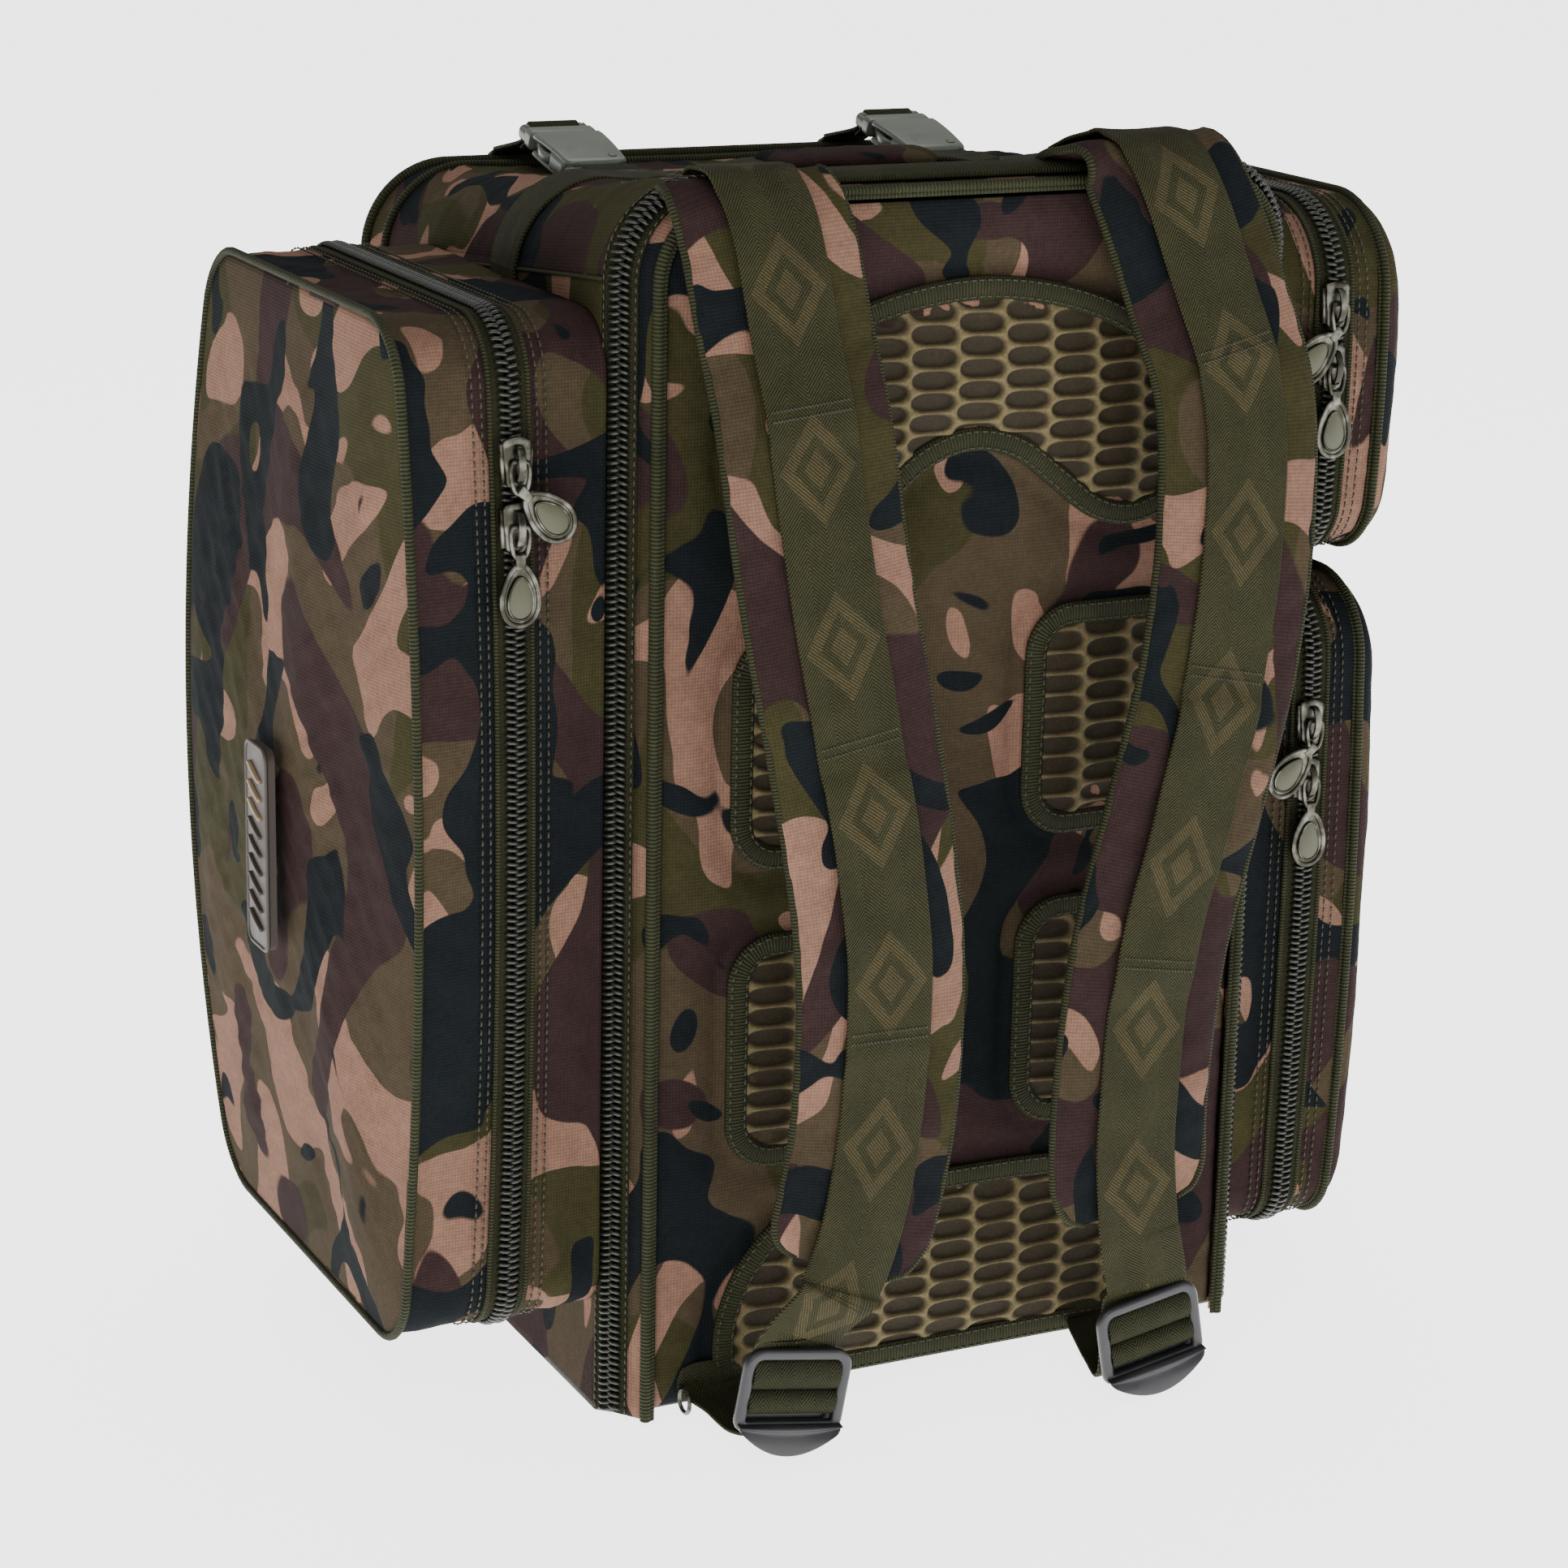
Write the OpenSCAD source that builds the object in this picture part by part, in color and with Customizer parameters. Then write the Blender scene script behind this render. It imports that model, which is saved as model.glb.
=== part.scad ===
// Camouflage tackle rucksack: a boxy padded body that opens through its back panel,
// one tall side pocket, two stacked side pockets, a front pocket, padded shoulder
// straps, two top straps with side release buckles and a webbing grab handle.
// X runs across the back, +Y points from the wearer to the front pocket, +Z is up.
// The origin is the middle of the body's base, where the rucksack stands.

/* [Body] */
// Width of the body across its side walls
body_w = 327; // [310:1:340]
// Depth of the body from the back panel to the front wall
body_d = 300; // [290:1:310]
// Height of the body along its rear top edge
body_h = 547; // [540:1:560]
// Height of the body along its front top edge
front_h = 518; // [510:1:530]
// Radius of the two top corners, seen from behind
top_r = 40; // [35:1:45]
// Thickness of the padded fabric walls
wall = 4; // [3:0.5:5]

/* [Back panel] */
// Width of the back panel inside the zip band
panel_w = 295; // [285:1:300]
// Height of the back panel's top edge
panel_top = 540; // [530:1:541]
// Depth of the sloping zip band between the panel and the body
band_d = 21; // [18:1:24]
// Thickness of the padded back panel
panel_t = 8; // [6:1:10]
// Width of the stitched binding round each mesh window
binding_w = 10; // [8:1:12]

/* [Side pockets] */
// How far the tall left pocket stands out from the body
left_pocket_x = 94; // [85:1:100]
// How far the right pockets stand out from the body
right_pocket_x = 80; // [70:1:90]
// Length of the side pockets from back to front
pocket_len = 232; // [220:1:240]
// Thickness of the pocket fabric
skin = 3; // [2:0.5:4]

/* [Straps] */
// Width of a shoulder pad
pad_w = 76; // [70:1:80]
// Thickness of a shoulder pad
pad_t = 9; // [7:1:10]
// Width of the shoulder webbing
web_w = 40; // [38:1:45]
// Thickness of the webbing
web_t = 2; // [1.5:0.5:2.5]
// Width of the top strap webbing
top_web_w = 25; // [20:1:28]

/* [Hidden] */
back_y = -body_d / 2;
front_y = body_d / 2;
side_y = back_y + band_d;
half_w = body_w / 2;
base_t = 5;
coil_w = 6;
gap = 0.5;
thin = 0.01;
arc_n = 8;
// Fractions of the way across the zip band, from the panel out to the body
tape_in = 0.48;
coil_in = 0.56;
coil_out = 0.80;
panel_z0 = 6;

camo = "#4E4430";
camo_dark = "#3B3228";
olive = "#4A4B36";
mesh_khaki = "#6A5E38";
zip_dark = "#2B2C26";
plastic = "#7C806E";
lock_grey = "#3F3F42";
gunmetal = "#6B6B66";

// Side pocket limits: y of the rear and front faces, z of the bottom and top
left_box = [back_y + 12, back_y + 12 + pocket_len, 48, 493];
upper_box = [back_y + 20, back_y + 20 + pocket_len, 362, 522];
lower_box = [back_y + 20, back_y + 20 + pocket_len, 30, 346];
// Front pocket limits: left and right x, bottom and top z
front_box = [-130, 130, 36, 455];
left_zip_x = 42;
right_zip_x = 28;
front_zip_y = 22;
front_pocket_y = 46;
zip_w = 3;

// Shoulder strap centre lines, from the top edge of the panel to the ladder locks
left_path = [[-110, -156, 551], [-106, -163, 530], [-102, -175, 490], [-98, -187, 450],
    [-92, -196, 390], [-82, -202, 330], [-72, -206, 270], [-67, -209, 215],
    [-70, -211, 150], [-82, -212, 97], [-97, -212, 67]];
right_path = [[80, -156, 553], [90, -163, 530], [101, -175, 490], [109, -187, 450],
    [107, -196, 395], [98, -202, 335], [82, -206, 275], [65, -209, 210],
    [58, -211, 140], [60, -212, 95], [66, -212, 62]];
left_lock = [-104, -213, 50];
right_lock = [69, -215, 46];
lock_w = 50;
lock_h = 46;
lock_t = 5;

buckle_x = 88;
buckle_y = 74;
buckle_z = 541;
buckle_tilt = 14;
buckle_w = 34;
buckle_l = 34;
buckle_h = 11;
prong_l = 20;

handle_y = -25;
handle_end = 72;
handle_band = 28;

// ---- shared shapes ----

// Stand a drawing of (x, z) upright and give it thickness from y0 to y1
module along_y(y0, y1) {
    translate([0, y1, 0]) rotate([90, 0, 0]) linear_extrude(y1 - y0) children();
}

// Stand a drawing of (y, z) upright and give it thickness from x0 to x1
module along_x(x0, x1) {
    translate([x0, 0, 0]) rotate([90, 0, 90]) linear_extrude(x1 - x0) children();
}

// Upright outline with a flat foot and two rounded top corners
module arch(half, height, r, foot = 0) {
    translate([-half, foot]) square([2 * half, height - r - foot]);
    translate([-half + r, foot]) square([2 * (half - r), height - foot]);
    for (s = [-1, 1]) translate([s * (half - r), height - r]) circle(r, $fn = 48);
}

// Fall of the lid towards the front, and its height at a given y
lid_slope = atan((body_h - front_h) / (front_y - side_y));
function lid_z(y) = body_h + (front_h - body_h) * (y - side_y) / (front_y - side_y);

// Solid body between two y planes, grown outwards by a distance
module body_loft(grow, y0, y1, foot = 0) {
    hull() for (y = [y0, y1]) along_y(y - thin, y)
        arch(half_w + grow, lid_z(y) + grow, top_r + grow, foot, $fn = 32);
}

// Solid zip band between two fractions of its width, sunk inwards by a distance
module band_loft(f0, f1, sink, foot) {
    hull() for (f = [f0, f1]) along_y(back_y + band_d * f - thin, back_y + band_d * f)
        arch(panel_w / 2 + (half_w - panel_w / 2) * f - sink,
            panel_top + (body_h - panel_top) * f - sink, top_r - 6 + 6 * f, foot);
}

// Points of a rounded box: limits are [low u, high u, low v, high v] with a radius
// for each corner in the order low-low, high-low, high-high, low-high, drawn inwards
// by an inset
function arc(u, v, r, a0) =
    [for (i = [0 : arc_n]) [u + r * cos(a0 + 90 * i / arc_n), v + r * sin(a0 + 90 * i / arc_n)]];
function corner(r, in) = max(r - in, 2);
function round_box(b, r, in = 0) = let (q = [for (k = r) corner(k, in)]) concat(
    arc(b[0] + in + q[0], b[2] + in + q[0], q[0], 180),
    arc(b[1] - in - q[1], b[2] + in + q[1], q[1], 270),
    arc(b[1] - in - q[2], b[3] - in - q[2], q[2], 0),
    arc(b[0] + in + q[3], b[3] - in - q[3], q[3], 90));

// Ring of fabric between two insets of a rounded box
module ring(b, r, out, in) {
    difference() {
        polygon(round_box(b, r, out));
        polygon(round_box(b, r, in));
    }
}

// Flat ribbon of rectangular section carried along a path and raised off it
function unit(v) = v / norm(v);
function path_dir(p, i) = unit(p[min(i + 1, len(p) - 1)] - p[max(i - 1, 0)]);
function across(t) = unit([1, 0, 0] - t * t[0]);
function ribbon_ring(p, i, w, th, up) = let (
    t = path_dir(p, i), a = across(t), n = cross(t, a), c = p[i] + n * up)
    [c - a * w / 2 - n * th / 2, c + a * w / 2 - n * th / 2,
     c + a * w / 2 + n * th / 2, c - a * w / 2 + n * th / 2];
module ribbon(p, w, th, up = 0) {
    m = len(p);
    points = [for (i = [0 : m - 1]) each ribbon_ring(p, i, w, th, up)];
    sides = [for (i = [0 : m - 2]) for (k = [0 : 3]) let (a = 4 * i + k, b = 4 * i + (k + 1) % 4)
        each [[a, b, b + 4], [a, b + 4, a + 4]]];
    caps = [[3, 2, 1, 0], [for (k = [0 : 3]) 4 * (m - 1) + k]];
    polyhedron(points, concat(sides, caps), convexity = 6);
}

// ---- body ----

module base_panel() {
    color(camo_dark) linear_extrude(base_t) polygon([
        [-half_w, side_y + 8], [-half_w + 15, back_y + 12], [half_w - 15, back_y + 12],
        [half_w, side_y + 8], [half_w, front_y], [-half_w, front_y]]);
}

module side_wall(s) {
    color(camo) along_x(s > 0 ? half_w - wall : -half_w, s > 0 ? half_w : -half_w + wall)
        polygon([[side_y, base_t], [front_y - wall, base_t],
            [front_y - wall, lid_z(front_y - wall) - top_r], [side_y, body_h - top_r]]);
}

module front_wall() {
    color(camo) along_y(front_y - wall, front_y)
        arch(half_w, front_h, top_r, base_t);
}

// Lid with rounded sides: an arched channel tipped down towards the front
module top_panel() {
    rise = body_h * cos(lid_slope);
    color(camo) intersection() {
        translate([-half_w - 1, side_y, body_h / 2])
            cube([body_w + 2, front_y - wall - side_y, body_h]);
        translate([0, side_y, 0]) rotate([-lid_slope, 0, 0]) along_y(-80, body_d) difference() {
            arch(half_w, rise, top_r);
            arch(half_w - wall, rise - wall, top_r - wall, -2);
            translate([-half_w - 1, -1]) square([body_w + 2, rise - top_r * cos(lid_slope) + 1]);
        }
    }
}

module front_piping() {
    color(olive) along_y(front_y - 4, front_y + 2) difference() {
        arch(half_w + 3, front_h + 3.6, top_r + 3, 6);
        arch(half_w + 0.2, front_h + 0.8, top_r, 0);
    }
}

module main_zip() {
    color(zip_dark) {
        difference() {
            band_loft(coil_out, 1, 0, 2);
            band_loft(coil_out - 0.2, 1.2, 3, -2);
        }
        along_y(back_y + band_d * coil_in, back_y + band_d * coil_out) difference() {
            arch(half_w - 3.2, body_h - 1.4, top_r - 2, 2);
            arch(half_w - 3.2 - coil_w, body_h - 1.4 - coil_w, top_r - 4, 0);
        }
    }
}

// ---- pockets ----

left_r = [22, 22, 22, 22];
right_upper_r = [22, 22, 30, 38];
right_lower_r = [20, 22, 30, 34];
front_r = [24, 24, 40, 40];

// Fabric tube from the side wall out to the zip
module side_gusset(s, b, r, zip_x) {
    x0 = s * half_w;
    x1 = s * (half_w + zip_x);
    color(camo) along_x(min(x0, x1), max(x0, x1)) ring(b, r, 0, skin);
}

// Zip chain round a pocket, left open along the folding front edge
module side_zip(s, b, r, zip_x) {
    x0 = s * (half_w + zip_x);
    x1 = s * (half_w + zip_x + zip_w);
    color(zip_dark) along_x(min(x0, x1), max(x0, x1)) difference() {
        ring(b, r, -1.2, skin);
        translate([b[1] - 8, b[2] - 5]) square([20, b[3] - b[2] + 10]);
    }
}

// Hollow cover of a right pocket: a short tube closed by a rounded outer panel
module side_cover(s, b, r, x_in, x_edge, x_top, dome_in) {
    module slice(x, in) {
        along_x(s * x - (s > 0 ? thin : 0), s * x + (s > 0 ? 0 : thin))
            polygon(round_box(b, r, in));
    }
    color(camo) difference() {
        hull() {
            slice(half_w + x_in, 0);
            slice(half_w + x_edge, 0);
            slice(half_w + x_top, dome_in);
        }
        hull() {
            slice(half_w + x_in - 1, skin);
            slice(half_w + x_edge - skin, skin);
            slice(half_w + x_top - skin, dome_in + 1);
        }
    }
}

// Corded edge round a pocket cover
module side_piping(s, b, r, x_edge) {
    x = s * (half_w + x_edge);
    color(olive) along_x(x - 2.5, x + 2.5) ring(b, r, -2.8, -0.1);
}

module front_pocket_gusset() {
    color(camo) along_y(front_y, front_y + front_zip_y) ring(front_box, front_r, 0, skin);
}

module front_pocket_zip() {
    color(zip_dark) along_y(front_y + front_zip_y, front_y + front_zip_y + zip_w)
        difference() {
            ring(front_box, front_r, -1.2, skin);
            translate([front_box[0] - 5, front_box[2] - 5])
                square([front_box[1] - front_box[0] + 10, 13]);
        }
}

// Outer panel that stands proud in two steps: [inset, height] of each step
panel_steps = [[0, 0], [16, 5], [34, 9]];
module stepped_panel(b, r) {
    for (i = [0 : len(panel_steps) - 1])
        translate([0, 0, i == 0 ? 0 : skin + panel_steps[i - 1][1]])
            linear_extrude(i == 0 ? skin : panel_steps[i][1] - panel_steps[i - 1][1])
                polygon(round_box(b, r, panel_steps[i][0]));
}

// Hollow pocket cover: a fabric tube closed by a proud outer panel, built along +Z
module tube_cover(b, r, depth) {
    linear_extrude(depth - skin) ring(b, r, 0, skin);
    translate([0, 0, depth - skin]) stepped_panel(b, r);
}

module left_pocket_cover() {
    x0 = left_zip_x + zip_w + gap;
    color(camo) translate([-half_w - x0, 0, 0]) mirror([1, 0, 0]) rotate([90, 0, 90])
        tube_cover(left_box, left_r, left_pocket_x - x0);
}

module front_pocket_cover() {
    y0 = front_y + front_zip_y + zip_w + gap;
    color(camo) translate([0, y0, 0]) mirror([0, 1, 0]) rotate([90, 0, 0])
        tube_cover(front_box, front_r, front_y + front_pocket_y - y0);
}

module front_cover_piping() {
    color(olive) along_y(front_y + front_pocket_y - 2.5, front_y + front_pocket_y + 2.5)
        ring(front_box, front_r, -2.8, -0.1);
}

module pocket_badge() {
    color("#3A3028") along_x(-half_w - left_pocket_x - 11.5, -half_w - left_pocket_x - 9.2)
        polygon(round_box([back_y + 116, back_y + 144, 200, 292], [4, 4, 4, 4]));
}

// ---- back panel and its straps ----

module back_panel() {
    color(camo) {
        along_y(back_y, back_y + panel_t) arch(panel_w / 2 - 3, panel_top - 3, top_r - 9, panel_z0);
        difference() {
            band_loft(0, tape_in, 0, panel_z0);
            band_loft(-0.2, tape_in + 0.2, 3, panel_z0 - 5);
        }
    }
}

module back_panel_piping() {
    color(olive) along_y(back_y - 4, back_y - 0.1) difference() {
        arch(panel_w / 2, panel_top, top_r - 6, panel_z0);
        arch(panel_w / 2 - 4.5, panel_top - 4.5, top_r - 10.5, panel_z0 - 1);
    }
}

// Right half of each cushioned mesh window, from the middle line outwards
lumbar_top = [[0, 503], [40, 498], [75, 485], [103, 463], [114, 440], [112, 414], [98, 397],
    [78, 391], [58, 396], [38, 411], [20, 424], [0, 429]];
lumbar_low = [[0, 99], [60, 97], [86, 88], [104, 70], [114, 48], [116, 26], [110, 13],
    [96, 9], [0, 9]];
function mirrored(p) = concat(p, [for (i = [len(p) - 2 : -1 : 1]) [-p[i][0], p[i][1]]]);
side_pads = [[30, 112, 252, 357], [30, 112, 115, 222]];
pad_r = [22, 22, 22, 22];

module window_outlines() {
    polygon(mirrored(lumbar_top));
    polygon(mirrored(lumbar_low));
    for (s = [-1, 1], b = side_pads) scale([s, 1]) polygon(round_box(b, pad_r));
}

module back_mesh_pads() {
    color(mesh_khaki) along_y(back_y - 4.5, back_y - 0.1)
        offset(delta = -binding_w) window_outlines();
}

module mesh_bindings() {
    color(olive) along_y(back_y - 2.5, back_y - 0.1) difference() {
        window_outlines();
        offset(delta = -binding_w + 0.1) window_outlines();
    }
}

module shoulder_pad(p) {
    color(camo) ribbon(p, pad_w, pad_t);
}

// Webbing sewn along the outside of a pad, down to the ladder lock
module shoulder_webbing(p) {
    color(olive) ribbon(p, web_w, web_t, (pad_t + web_t) / 2 + 0.2);
}

// Webbing tail from behind a ladder lock to the lower corner of the panel
module lower_webbing(lock, foot_x) {
    run = [[lock[0], lock[1] + 5.5, lock[2] - 12], [lock[0], lock[1] + 10, lock[2] - 24],
        [(lock[0] + foot_x) / 2, back_y - 32, 16], [foot_x, back_y - 18, 14]];
    color(olive) ribbon(run, web_w - 2, web_t);
}

left_foot = -112;
right_foot = 84;

module lower_strap_webbing() {
    lower_webbing(left_lock, left_foot);
    lower_webbing(right_lock, right_foot);
}

// Sewn webbing wings at the lower corners of the panel
module lower_strap_anchors() {
    color(olive) for (x = [left_foot, right_foot])
        along_x(x - 20, x + 20) polygon([[back_y - 4.8, 8], [back_y - 9.6, 12],
            [back_y - 9.6, 16], [back_y - 4.8, 24]]);
}

// Three bar slider that holds the strap webbing, with a curved thumb tab
module ladder_lock(c) {
    color(lock_grey) translate(c) rotate([90, 0, 0]) linear_extrude(lock_t, center = true)
        difference() {
            union() {
                translate([-lock_w / 2, -lock_h + 10]) square([lock_w, lock_h - 6]);
                intersection() {
                    translate([0, -12]) circle(31, $fn = 64);
                    translate([-lock_w / 2, -lock_h + 2]) square([lock_w, 20]);
                }
            }
            translate([-lock_w / 2 + 5, -10]) square([lock_w - 10, 9]);
            translate([-lock_w / 2 + 5, -30]) square([lock_w - 10, 15]);
        }
}

// ---- top straps and handle ----

// Place a shape on a top strap, tilted up towards the front
module at_buckle(s) {
    translate([s * buckle_x, buckle_y, buckle_z]) rotate([buckle_tilt, 0, 0]) children();
}

module buckle_socket(s) {
    color(plastic) at_buckle(s) difference() {
        translate([-buckle_w / 2, -buckle_l / 2 - 8, -buckle_h / 2])
            cube([buckle_w, buckle_l + 8, buckle_h]);
        translate([-buckle_w / 2 + 3, -buckle_l / 2 + 6, -buckle_h / 2 + 2])
            cube([buckle_w - 6, buckle_l, buckle_h - 4]);
        translate([-buckle_w / 2 - 1, -6, -buckle_h / 2 + 2])
            cube([buckle_w + 2, 13, buckle_h - 4]);
        translate([-top_web_w / 2 - 1, -buckle_l / 2 - 5, -buckle_h])
            cube([top_web_w + 2, 4, 2 * buckle_h]);
    }
}

module buckle_clip(s) {
    y_in = buckle_l / 2 - prong_l;
    y_face = buckle_l / 2 + 0.6;
    color(plastic) at_buckle(s) {
        difference() {
            translate([-buckle_w / 2, y_face, -buckle_h / 2 + 1])
                cube([buckle_w, 15, buckle_h - 2]);
            translate([-top_web_w / 2 - 1, y_face + 7, -buckle_h])
                cube([top_web_w + 2, 4.5, 2 * buckle_h]);
        }
        for (x = [-buckle_w / 2 + 4, -2, buckle_w / 2 - 8])
            translate([x, y_in, -2.5]) cube([4, prong_l + 1, 5]);
    }
}

module top_strap_webbing() {
    color(olive) for (s = [-1, 1]) {
        // rear tail sewn to the lid
        y0 = buckle_y - 60;
        ribbon([[s * buckle_x, y0, lid_z(y0) + 1.5], [s * buckle_x, y0 + 26, lid_z(y0 + 26) + 2],
            [s * buckle_x, y0 + 36, buckle_z - 9]], top_web_w, web_t);
        // front strap over the rim and down the front wall
        ribbon([[s * buckle_x, front_y - 4, front_h + 7], [s * buckle_x, front_y + 4.5, front_h + 4],
            [s * buckle_x, front_y + 4.5, front_h - 12], [s * buckle_x, front_y + 1.3, front_h - 20],
            [s * buckle_x, front_y + 1.3, front_h - 52]], top_web_w, web_t);
    }
}

module handle_anchor_webbing() {
    y0 = handle_y - handle_band / 2;
    y1 = handle_y + handle_band / 2;
    color(olive) difference() {
        body_loft(web_t + 0.1, y0, y1, 400);
        body_loft(0.1, y0 - 1, y1 + 1);
        translate([-handle_end - 2, y0 - 2, 450]) cube([2 * handle_end + 4, handle_band + 4, 150]);
        translate([-half_w - 9, y0 - 2, 300]) cube([body_w + 18, handle_band + 4, 199]);
    }
}

// Webbing loop with a padded sleeve round its middle
module grab_handle() {
    z = lid_z(handle_y) + 5.5;
    loop = [[-handle_end, handle_y, z], [-60, handle_y, z + 2], [-46, handle_y, z + 8],
        [-24, handle_y, z + 10], [24, handle_y, z + 10], [46, handle_y, z + 8],
        [60, handle_y, z + 2], [handle_end, handle_y, z]];
    color(olive) polyhedron_loop(loop);
    color(camo) along_x(-40, 40) polygon(round_box(
        [handle_y - 15, handle_y + 15, z + 6, z + 14], [3.9, 3.9, 3.9, 3.9]));
}

// Flat band in the XZ plane through the given points
module polyhedron_loop(p) {
    top = [for (q = p) [q[0], q[2] + web_t / 2]];
    low = [for (i = [len(p) - 1 : -1 : 0]) [p[i][0], p[i][2] - web_t / 2]];
    along_y(handle_y - top_web_w / 2, handle_y + top_web_w / 2) polygon(concat(top, low));
}

// ---- zip sliders and pullers ----

slider_l = 20;
slider_w = 12;
slider_t = 3.6;
bar_y = -slider_t - 2.2;
eye_w = 9;
eye_l = 13;
// how far the upper tab of a pair is turned aside, clear of the lower slider
tab_turn = 52;
wire = 1.4;

// Slider body with its bail: z runs along the chain and -y points outwards
module slider() {
    color(gunmetal) {
        translate([-slider_w / 2, -slider_t, -slider_l / 2])
            cube([slider_w, slider_t, slider_l]);
        difference() {
            translate([-1.5, bar_y - 1.8, -7]) cube([3, slider_t + 0.6, 14]);
            translate([-2, bar_y, -4.8]) cube([4, 2.2, 9.6]);
        }
    }
}

// Puller: a wire eye under the bail, a neck and a teardrop tab turned about the foot of the eye
module puller(turn = 0) {
    color(gunmetal) translate([0, bar_y + 1.1, 0]) {
        rotate([0, 90, 0]) cylinder(h = eye_w, d = wire, center = true, $fn = 24);
        for (x = [-1, 1]) translate([x * (eye_w - wire) / 2, 0, 0]) {
            translate([-wire / 2, -wire / 2, -eye_l]) cube([wire, wire, eye_l]);
        }
        translate([0, wire / 2, -eye_l]) rotate([0, turn, 0]) rotate([90, 0, 0])
            linear_extrude(wire) {
                translate([-eye_w / 2, -2]) square([eye_w, 3]);
                polygon([[-3, -1], [3, -1], [8, -19], [-8, -19]]);
                translate([0, -20]) circle(8, $fn = 48);
            }
    }
}

// Positions of the sliders on their chains
module on_left(z) {
    translate([-half_w - left_zip_x - zip_w / 2, left_box[0] - 1.5, z]) children();
}
module on_right(b, z) {
    translate([half_w + right_zip_x + zip_w / 2, b[0] - 1.5, z]) children();
}
module on_main(z) {
    translate([half_w - 5.8, back_y + band_d * 0.44, z]) rotate([0, 0, 52])
        translate([0, -1.2, 0]) children();
}
module on_front(x) {
    translate([x, front_y + front_zip_y + zip_w / 2, front_box[3] + 1.5])
        rotate([-90, 0, 0]) rotate([0, 90, 0]) children();
}

left_a_z = 436;
left_b_z = 409;
upper_a_z = 478;
upper_b_z = 450;
lower_a_z = 284;
lower_b_z = 256;
main_z = 372;
front_x = 60;

base_panel();
side_wall(-1);  // left_side_wall
side_wall(1);  // right_side_wall
front_wall();
top_panel();
front_piping();
main_zip();
side_gusset(-1, left_box, left_r, left_zip_x);  // left_pocket_gusset
side_gusset(1, upper_box, right_upper_r, right_zip_x);  // upper_right_gusset
side_gusset(1, lower_box, right_lower_r, right_zip_x);  // lower_right_gusset
front_pocket_gusset();
side_zip(-1, left_box, left_r, left_zip_x);  // left_pocket_zip
side_zip(1, upper_box, right_upper_r, right_zip_x);  // upper_right_zip
side_zip(1, lower_box, right_lower_r, right_zip_x);  // lower_right_zip
front_pocket_zip();
buckle_socket(-1);  // left_buckle_socket
buckle_socket(1);  // right_buckle_socket
top_strap_webbing();
handle_anchor_webbing();
back_panel();
back_panel_piping();
back_mesh_pads();
mesh_bindings();
shoulder_pad(left_path);  // left_shoulder_pad
shoulder_pad(right_path);  // right_shoulder_pad
shoulder_webbing(left_path);  // left_shoulder_webbing
shoulder_webbing(right_path);  // right_shoulder_webbing
lower_strap_webbing();
lower_strap_anchors();
ladder_lock(left_lock);  // left_ladder_lock
ladder_lock(right_lock);  // right_ladder_lock
buckle_clip(-1);  // left_buckle_clip
buckle_clip(1);  // right_buckle_clip
grab_handle();
left_pocket_cover();
side_cover(1, upper_box, right_upper_r, right_zip_x + zip_w + gap, right_pocket_x - 26,  // upper_right_cover
        right_pocket_x, 16);
side_cover(1, lower_box, right_lower_r, right_zip_x + zip_w + gap, right_pocket_x - 26,  // lower_right_cover
        right_pocket_x, 16);
front_pocket_cover();
side_piping(-1, left_box, left_r, left_pocket_x - 2.6);  // left_cover_piping
side_piping(1, upper_box, right_upper_r, right_pocket_x - 28.6);  // upper_right_piping
side_piping(1, lower_box, right_lower_r, right_pocket_x - 28.6);  // lower_right_piping
front_cover_piping();
pocket_badge();
on_left(left_a_z) slider();  // left_slider_a
on_left(left_b_z) slider();  // left_slider_b
on_right(upper_box, upper_a_z) slider();  // upper_slider_a
on_right(upper_box, upper_b_z) slider();  // upper_slider_b
on_right(lower_box, lower_a_z) slider();  // lower_slider_a
on_right(lower_box, lower_b_z) slider();  // lower_slider_b
on_main(main_z) slider();  // main_slider
on_front(front_x) slider();  // front_slider
on_left(left_a_z) puller(-tab_turn);  // left_puller_a
on_left(left_b_z) puller();  // left_puller_b
on_right(upper_box, upper_a_z) puller(tab_turn);  // upper_puller_a
on_right(upper_box, upper_b_z) puller();  // upper_puller_b
on_right(lower_box, lower_a_z) puller(tab_turn);  // lower_puller_a
on_right(lower_box, lower_b_z) puller();  // lower_puller_b
on_main(main_z) puller();  // main_puller
on_front(front_x) puller();  // front_puller
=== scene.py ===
"""Camouflage tackle rucksack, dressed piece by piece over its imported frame.

Lengths in the dataclasses are millimetres, and build() turns them to metres. Every surface is a
grid of points worked out as a whole array, or a profile carried along a path.
"""
import logging
import math
from dataclasses import dataclass, field
from enum import Enum
from typing import Any, Callable, Optional, Sequence

import bpy
import numpy as np
from mathutils import Matrix, Vector


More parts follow.
